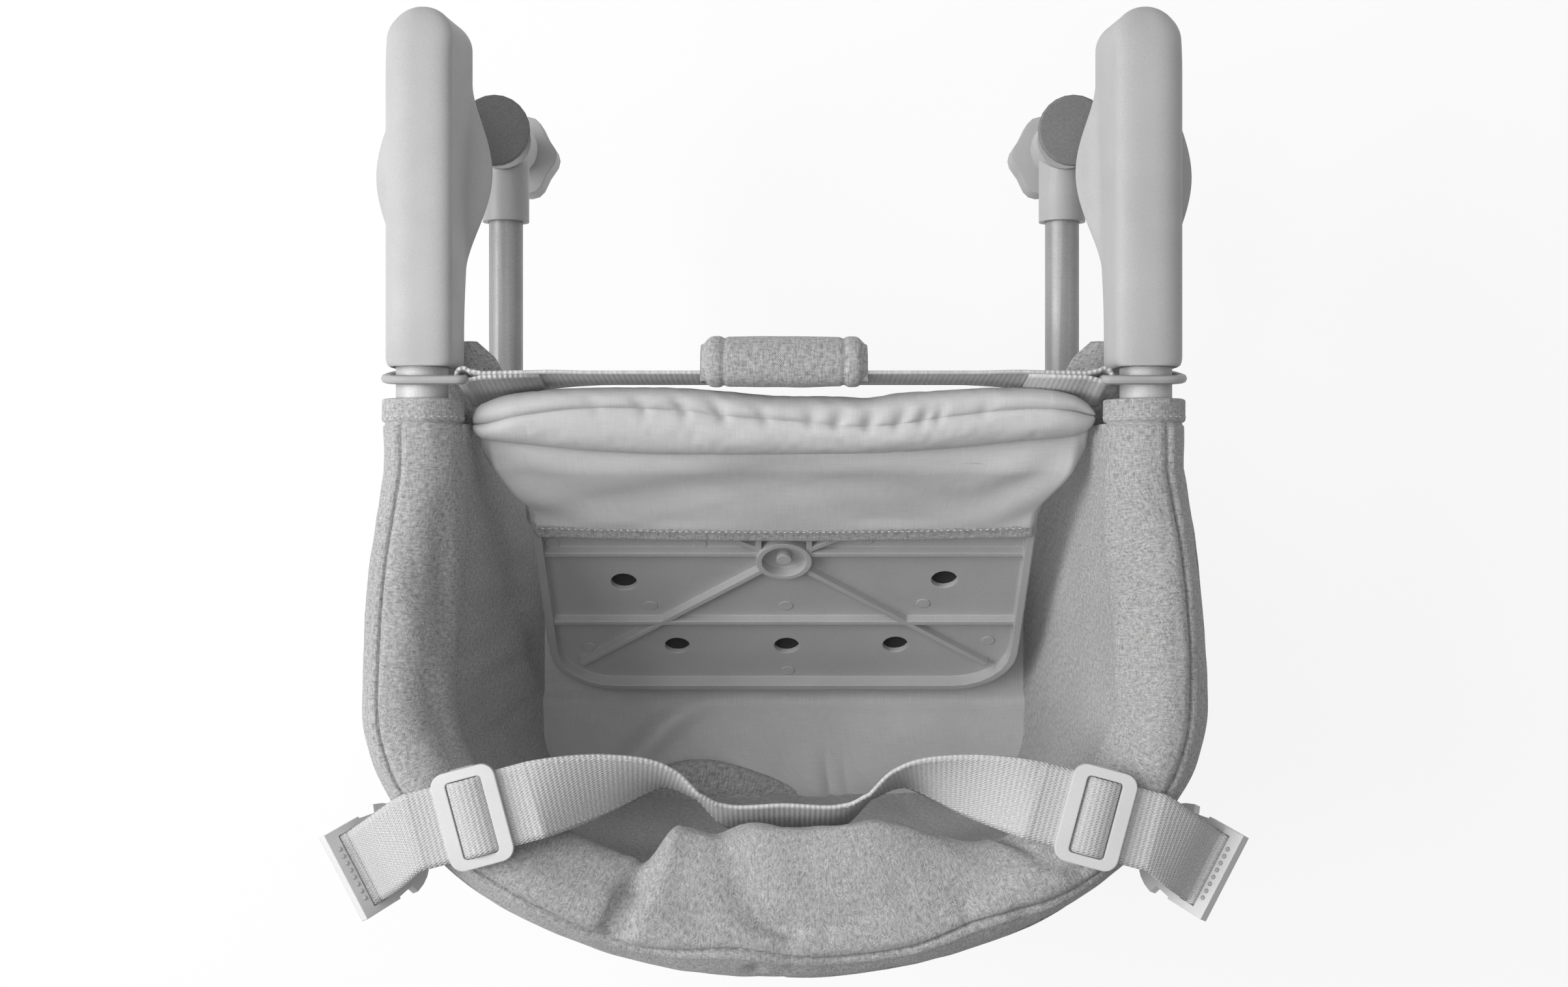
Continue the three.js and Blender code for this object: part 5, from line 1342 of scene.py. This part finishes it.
def stitchRow(bm, points, pitch, up=None, centre=None):
    long, wide, thick = stitchSet["size"]
    lengths = lineLengths(points)
    for i in range(int(lengths[-1] / pitch)):
        at, tangent = lineAt(points, lengths, pitch * (i + 0.5))
        facing = (at - centre if up is None else up).normalized()
        side = facing.cross(tangent).normalized()
        turn = Matrix((tangent * long, side * wide, facing * thick)).transposed().to_4x4()
        place = Matrix.Translation(at) @ turn
        bmesh.ops.create_icosphere(bm, subdivisions=1, radius=1.0, matrix=place)


def bandEdge(mirror, edge):
    s = stitchSet["band"]
    made = []
    for k, at in enumerate(bandPoints):
        if s["from"] < mirror * at.x < s["to"] and abs(at.y - s["middle"]) < s["reach"]:
            tangent = (bandPoints[k + 1] - bandPoints[k - 1]).normalized()
            up = tangent.cross(bandWays[k]).normalized()
            up = up if up.z > 0 else -up
            made.append(at + bandWays[k] * (edge * s["edge"]) + up * s["lift"])
    return made


bm = bmesh.new()
for mirror in (1, -1):
    for edge in (1, -1):
        row = bandEdge(mirror, edge)
        stitchRow(bm, row, stitchSet["band"]["pitch"], up=Vector(stitchSet["band"]["up"]))
finishPiece(bm, "harnessStitches", "frame", "thread")

cuff = stitchSet["cuff"]
bm = bmesh.new()
for run in (cuff["run"], sleeveLong - cuff["run"]):
    angles = [radians(cuff["from"] + cuff["step"] * k) for k in range(cuff["count"])]
    ring = [sleevePoint(angle, run, cuff["lift"]) for angle in angles]
    stitchRow(bm, ring, cuff["pitch"], centre=sum(ring, Vector()) / len(ring))
finishPiece(bm, "sleeveStitches", "frame", "thread")

hem = stitchSet["hem"]
row = []
for k in range(hem["count"] + 1):
    share = hem["reach"] * (2 * k / hem["count"] - 1)
    x, n = pocketSet["bandHalf"] * share, pocketSet["top"] + hem["lift"]
    row.append(raised(x, hemLine(share) + hem["in"], n))
bm = bmesh.new()
stitchRow(bm, row, hem["pitch"], up=Vector(hem["up"]))
finishPiece(bm, "hemStitches", "seat_base", "thread")
print("stitches made")


size = {"cad": [list(c) for c in cadBox], "visual": [list(c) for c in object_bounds()]}
